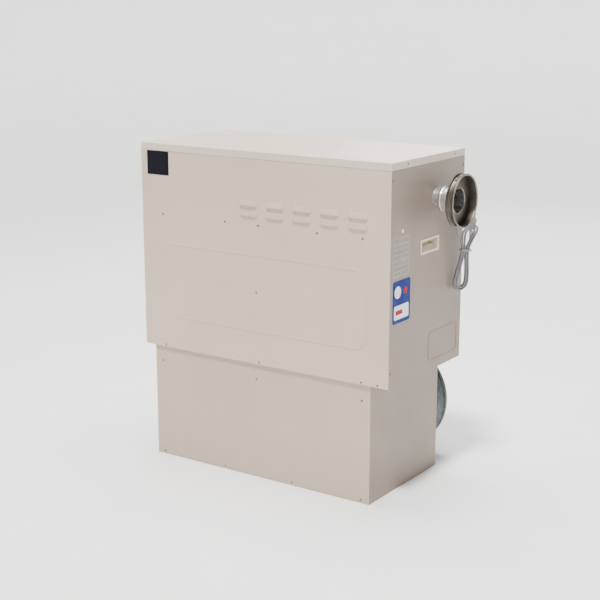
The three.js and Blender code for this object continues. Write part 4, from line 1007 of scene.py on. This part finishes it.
def welded(points, faces):
    """Joins corners at the same place and drops faces that have no area left."""
    seen = {}
    places = []
    renamed = []
    for point in points:
        key = tuple(round(c, 3) for c in point)
        if key not in seen:
            seen[key] = len(places)
            places.append(point)
        renamed.append(seen[key])
    kept = []
    for face in faces:
        corners = []
        for corner in face:
            if renamed[corner] not in corners:
                corners.append(renamed[corner])
        if len(corners) > 2:
            kept.append(tuple(corners))
    return places, kept


def add_front_panel():
    """The pressed sheet, open under each louvre's lip."""
    columns = front_columns()
    rows = front_rows()
    points = []
    for z, raised in rows:
        for x in columns:
            points.append((x, CABINET_FRONT - front_height(x, z, raised), z))
    faces = []
    count = len(columns)
    for row in range(len(rows) - 1):
        lip = rows[row][0] == rows[row + 1][0]
        for column in range(count - 1):
            middle = (columns[column] + columns[column + 1]) / 2
            if lip and louvre_at(middle, rows[row][0]):
                continue
            low = row * count + column
            faces.append((low, low + 1, low + count + 1, low + count))
    shape = welded(points, faces)
    made = add_piece("front_sheet", shape, "paint", 40.0, "front_cover", solid=PRESS_SHEET)
    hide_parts("front_panel")


def add_front_folds():
    """The folded edges behind the front sheet, set in from its outline."""
    left = CABINET_LEFT + FOLD_INSET
    right = CABINET_RIGHT - FOLD_INSET
    bottom = BASE_HEIGHT + FOLD_INSET
    depth = (CABINET_FRONT + PRESS_SHEET + 0.05, CABINET_FRONT + FOLD_DEPTH)
    inner_left = left + PRESS_SHEET
    inner_right = right - PRESS_SHEET
    shapes = [
        slab((left, inner_left), depth, (bottom, FOLD_TOP)),
        slab((inner_right, right), depth, (bottom, FOLD_TOP)),
        slab((inner_left, inner_right), depth, (bottom, bottom + PRESS_SHEET)),
        slab((inner_left, inner_right), depth, (FOLD_TOP - PRESS_SHEET, FOLD_TOP)),
    ]
    made = add_piece("front_sheet_folds", merged(*shapes), "paint", 36.0, "front_cover", 0.35)
    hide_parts("front_panel")


add_front_panel()
add_front_folds()


# ---- ducts, flue tube and flue collar: fine turned sheet ----------------------------------------
DUCT_APART = 255.0
DRUM_BACK = 75.0
DRUM_FRONT = 105.0


def add_turned(name, profile, axis, centre, look, node, sides):
    shape = lathe(rounded(profile, 0.6, 3), axis, centre, sides)
    made = add_piece(name, shape, look, 42.0)
    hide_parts(node)


def duct_profile():
    """The duct spigot: flange, plain wall, a rolled bead and a turned-in mouth."""
    outer = [(200.0, -17.5), (200.0, 0.3), (213.0, 0.3), (213.0, 1.8), (200.0, 1.8), (200.0, 94.6)]
    outer += [(201.3, 96.6), (202.7, 99.2), (203.0, 101.0), (202.7, 102.8), (201.3, 105.4)]
    outer += [(200.0, 107.4), (200.0, 119.4), (199.6, 120.0), (198.9, 120.0)]
    return outer + [(198.5, 119.2), (198.5, -17.5)]


def flue_tube_profile():
    """The bright tube through the side panel: its flange, a swaged bead and a rolled mouth."""
    outer = [(45.0, -38.0), (45.0, -3.3), (60.0, -3.3), (60.0, -1.8), (45.0, -1.8), (45.0, 21.5)]
    outer += [(45.7, 23.2), (46.2, 25.0), (46.2, 27.0), (45.7, 28.8), (45.0, 30.5)]
    return outer + [(45.0, 77.6), (44.6, 78.0), (43.8, 78.0), (43.5, 77.6), (43.5, -38.0)]


def flue_collar_profile():
    """A shallow drum with a rolled rim at either end and a neck that grips the tube."""
    back = DRUM_BACK
    end = DRUM_FRONT
    return [
        (45.3, back - 18), (48.3, back - 18), (48.3, back), (91.6, back), (92.9, back + 0.8),
        (93.5, back + 2.4), (93.5, back + 4.2), (92.4, back + 5.8), (89.6, back + 7.4),
        (88.5, back + 9.0), (88.2, back + 15.0), (88.5, end - 9.0), (89.6, end - 7.2),
        (92.0, end - 5.4), (93.2, end - 3.6), (93.5, end - 2.0), (92.8, end - 0.5), (91.2, end),
        (89.0, end - 0.2), (87.2, end - 1.4), (86.6, end - 3.2), (86.5, back + 2), (45.3, back + 2),
    ]


def add_turned_pieces():
    for side, node in ((1, "supply_duct_spigot"), (-1, "return_duct_spigot")):
        centre = (DUCT_APART * side, BASE_BACK, BASE_HEIGHT / 2)
        add_turned(node + "_tube", duct_profile(), (0, 1, 0), centre, "duct_zinc_painted_shade", node, 128)
    add_turned("flue_tube", flue_tube_profile(), (1, 0, 0), FLUE, "tube_bright", "flue_spigot", 96)
    add_turned("flue_drum", flue_collar_profile(), (1, 0, 0), FLUE, "flue_plate", "flue_collar", 128)


add_turned_pieces()


# ---- screws, badge and labels -------------------------------------------------------------------
# Places in the plane of the face that holds them: (x, z) on front and back, (y, z) on the ends.
FRONT_SCREWS = (
    (-413.6, 935.0), (-129.2, 935.0), (15.9, 935.0), (262.3, 935.0), (443.2, 935.0),
    (5.7, 694.9), (15.9, 440.5), (443.1, 440.5), (507.0, 440.5), (-413.6, 440.5),
)
BASE_SCREWS = (
    (-4.0, 372.0), (-440.0, 372.0), (440.0, 372.0),
    (-440.0, 12.0), (-150.0, 12.0), (150.0, 12.0), (440.0, 12.0),
)
SIDE_SCREWS = ((-239.0, 1134.0), (-238.0, 485.0), (250.0, 1134.0), (250.0, 485.0))
LID_SCREWS = ((-143.0, 1179.0), (184.0, 1179.0))
BACK_SCREWS = [(x, z) for x in (-480.0, -160.0, 190.0, 515.0) for z in (446.0, 800.0, 1120.0)]
BASE_BACK_SCREWS = [(x, z) for x in (-462.0, 0.0, 462.0) for z in (14.0, 216.0, 405.0)]
# Each set's name, its face's axis (0 for x, 1 for y), place and side, its body and its places.
SCREW_SETS = (
    ("front_screws", 1, CABINET_FRONT, -1, "front_cover", FRONT_SCREWS),
    ("base_screws", 1, BASE_FRONT, -1, "furnace_body", BASE_SCREWS),
    ("right_screws", 0, CABINET_RIGHT, 1, "furnace_body", SIDE_SCREWS),
    ("left_screws", 0, CABINET_LEFT, -1, "furnace_body", SIDE_SCREWS),
    ("lid_right_screws", 0, CABINET_RIGHT, 1, "top_cover", LID_SCREWS),
    ("lid_left_screws", 0, CABINET_LEFT, -1, "top_cover", LID_SCREWS),
    ("back_screws", 1, CABINET_BACK, 1, "furnace_body", BACK_SCREWS),
    ("base_back_screws", 1, BASE_BACK, 1, "furnace_body", BASE_BACK_SCREWS),
)
SCREW_SIZE = 0.8
SCREW_SINK = 0.1
DRUM_SCREW_ANGLES = (-118.0, 2.0, 122.0)
DRUM_WAIST = 88.2


def screw_shape(place, out, size=1.0):
    """A hexagonal washer-head screw: dished head, chamfered flats and a flange."""
    washer = [(0.0, 0.0), (4.4, 0.0), (4.6, 0.3), (4.4, 0.7), (3.6, 1.0), (0.0, 1.0)]
    head = [(0.0, 0.9), (3.15, 0.9), (3.15, 2.5), (2.7, 3.0), (1.9, 3.0), (1.5, 2.5), (0.0, 2.3)]
    shapes = []
    for profile, sides in ((washer, 24), (head, 6)):
        scaled = [(max(radius, 0.02) * size, station * size) for radius, station in profile]
        shapes.append(lathe(scaled, out, place, sides, closed=False))
    return merged(*shapes)


def add_screws(name, axis, face, side, body, places):
    """The screws of one panel, each sunk a little into its face."""
    out = (0, side, 0) if axis else (side, 0, 0)
    sunk = face - side * SCREW_SINK
    shapes = []
    for along, height in places:
        place = (along, sunk, height) if axis else (sunk, along, height)
        shapes.append(screw_shape(place, out, SCREW_SIZE))
    add_piece(name, merged(*shapes), "screw_zinc", 30.0, body)


def add_drum_screws():
    """The dark screws round the waist of the flue drum."""
    shapes = []
    middle = FLUE + Vector(((DRUM_BACK + DRUM_FRONT) / 2, 0, 0))
    for angle in DRUM_SCREW_ANGLES:
        turn = math.radians(angle)
        ray = Vector((0, math.cos(turn), math.sin(turn)))
        shapes.append(screw_shape(middle + ray * DRUM_WAIST, ray))
    add_piece("flue_drum_screws", merged(*shapes), "dark_gap", 30.0)


PLATE_ANGLE = 50.0


def plate_shape(low, high, face, thick, corner, axis="x"):
    """A thin plate with round corners and a soft rim on a face square to an axis."""
    (a0, b0), (a1, b1) = low, high
    rings = []
    rows = ((0.0, 0.0), (0.0, 0.75 * thick), (0.25 * thick, thick), (0.6, 1.02 * thick))
    for inset, height in rows:
        corners = [(a0 + inset, b0 + inset), (a1 - inset, b0 + inset),
                   (a1 - inset, b1 - inset), (a0 + inset, b1 - inset)]
        ring = rounded(corners, corner, 5)
        if axis == "x":
            rings.append([(face + height, a, b) for a, b in ring])
        else:
            rings.append([(a, face - height, b) for a, b in ring])
    return loft(rings)


def disc_shape(centre, radius, face, thick=0.16):
    profile = [(0.02, thick), (radius - 0.3, thick), (radius, 0.6 * thick), (radius, 0.0)]
    return lathe(profile, (1, 0, 0), (face, *centre), 48, closed=False)


# Plates on the right end: name, low and high (y, z), height, finish, thickness, corner radius.
LABEL_FACE = CABINET_RIGHT - 0.05
LABELS = (
    ("data_plate", (-229, 810), (-123, 943), 0.0, "label_silver", 0.4, 2.0),
    ("side_mark", (-176, 955), (-164, 967), 0.0, "label_white", 0.35, 2.5),
    ("round_label", (-229, 651), (-113, 797), 0.0, "label_blue", 0.5, 11.0),
    ("round_label_band", (-219, 664), (-123, 712), 0.45, "label_white", 0.15, 6.0),
    ("round_label_bar", (-209, 680), (-163, 695), 0.58, "label_red", 0.1, 4.0),
)
LABEL_DISCS = (
    ("round_label_disc", (-196, 757), 21.0, "label_white"),
    ("round_label_dot", (-146, 757), 13.0, "label_red"),
)
DISC_HEIGHT = 0.45
FIELD_HEIGHT = 0.36
FIELD_LEFT = -225
FIELD_RIGHT = -127
FIELD_SPLIT = -176
FIELD_SHIFT = 14
FIELD_ROWS = ((922, 938), (904, 917), (886, 900), (868, 882), (848, 864), (830, 844), (814, 826))


def add_fields():
    """Two blank fields in each row of the data plate, split at a varying place."""
    for row, (low, high) in enumerate(FIELD_ROWS):
        split = FIELD_SPLIT + FIELD_SHIFT * (row % 3)
        for side, (start, end) in enumerate(((FIELD_LEFT, split - 2), (split + 1, FIELD_RIGHT))):
            name = "data_plate_field_%d" % (2 * row + side)
            shape = plate_shape((start, low), (end, high), LABEL_FACE + FIELD_HEIGHT, 0.1, 1.0)
            add_piece(name, shape, "label_field", PLATE_ANGLE)


def add_badge_and_labels():
    badge = plate_shape((-482, 1078), (-382, 1165), CABINET_FRONT + 0.2, 1.2, 1.5, "y")
    add_piece("badge", badge, "badge_navy", PLATE_ANGLE, "front_cover")
    for name, low, high, height, look, thick, corner in LABELS:
        shape = plate_shape(low, high, LABEL_FACE + height, thick, corner)
        add_piece(name, shape, look, PLATE_ANGLE)
    for name, centre, radius, look in LABEL_DISCS:
        add_piece(name, disc_shape(centre, radius, LABEL_FACE + DISC_HEIGHT), look, PLATE_ANGLE)
    add_fields()


for screw_set in SCREW_SETS:
    add_screws(*screw_set)
add_drum_screws()
add_badge_and_labels()


# ---- floor, backdrop and light, in metres --------------------------------------------------------
FLOOR_OUTLINE = ((0.01, 0.0), (3.0, 0.0), (9.0, 0.0), (11.0, 0.2), (12.6, 0.9), (13.6, 2.2), (14.2, 6.0))
FLOOR_GLOW = 0.2
WORLD_STRENGTH = 0.14
SUN_STRENGTH = 5.6
SUN_HEIGHT = math.radians(64)
SUN_TURN = math.radians(12)
SUN_SPREAD = math.radians(9)
WHITE = (1.0, 1.0, 1.0)
WARM = (1.0, 0.985, 0.965)
COOL = (0.97, 0.985, 1.0)
MIDDLE = (0.0, 0.0, 0.75)
# Each soft light's name, place, target, side, power and colour.
LIGHTS = (
    ("near_right", (1.5, -2.4, 1.9), (0.5, 0.0, 0.9), 1.1, 18, WARM),
    ("left_fill", (-4.6, -3.6, 2.6), MIDDLE, 2.4, 8, COOL),
    ("over_lid", (-0.2, 0.5, 5.0), MIDDLE, 2.6, 380, WHITE),
    ("back_fill", (-1.8, 5.2, 3.0), MIDDLE, 2.2, 60, WHITE),
)


def floor_finish():
    """A pale matt floor whose far edge glows a little."""
    look = Finish("studio_floor", 0.85)
    look.colour(look.grey(look.noise(3.0, 3.0), 0.3, 0.7, 0.87, 0.90))
    look.normal(look.bump(look.noise(60.0, 2.0), 0.0002, 0.2))
    look.shader.inputs["Emission Color"].default_value = (*WHITE, 1.0)
    glow = look.axis_share("Z", 0.05, 1.4, 0.0, FLOOR_GLOW)
    look.tree.links.new(glow, look.shader.inputs["Emission Strength"])
    return look.material


def add_floor():
    """A wide pale floor that curves up into a low wall far behind the furnace on every side."""
    profile = [(radius / MM, (height - 0.0005) / MM) for radius, height in FLOOR_OUTLINE]
    profile = rounded(profile, 900.0, 6, closed=False)
    shape = lathe(profile, (0, 0, 1), (0, 0, 0), 72, closed=False)
    add_mesh("studio_floor", shape, floor_finish())


def add_world():
    world = bpy.data.worlds.new("studio")
    world.use_nodes = True
    background = world.node_tree.nodes["Background"]
    background.inputs["Color"].default_value = (1.0, 0.99, 0.98, 1)
    background.inputs["Strength"].default_value = WORLD_STRENGTH
    bpy.context.scene.world = world


def place_light(data, place, facing):
    """Puts a light at a place with its back to a direction."""
    made = bpy.data.objects.new(data.name, data)
    made.location = place
    made.rotation_euler = facing.to_track_quat("Z", "Y").to_euler()
    bpy.context.scene.collection.objects.link(made)


def add_sun():
    """A soft light from high on the front, a little to the right."""
    data = bpy.data.lights.new("high_light", "SUN")
    data.energy = SUN_STRENGTH
    data.angle = SUN_SPREAD
    data.color = WARM
    flat = math.cos(SUN_HEIGHT)
    towards = Vector((flat * math.sin(SUN_TURN), -flat * math.cos(SUN_TURN), math.sin(SUN_HEIGHT)))
    place_light(data, towards * 6, towards)


def add_light(name, place, target, side, power, colour):
    data = bpy.data.lights.new(name, "AREA")
    data.shape = "SQUARE"
    data.size = side
    data.energy = power
    data.color = colour
    place_light(data, place, Vector(place) - Vector(target))


add_floor()
add_world()
add_sun()
for light in LIGHTS:
    add_light(*light)
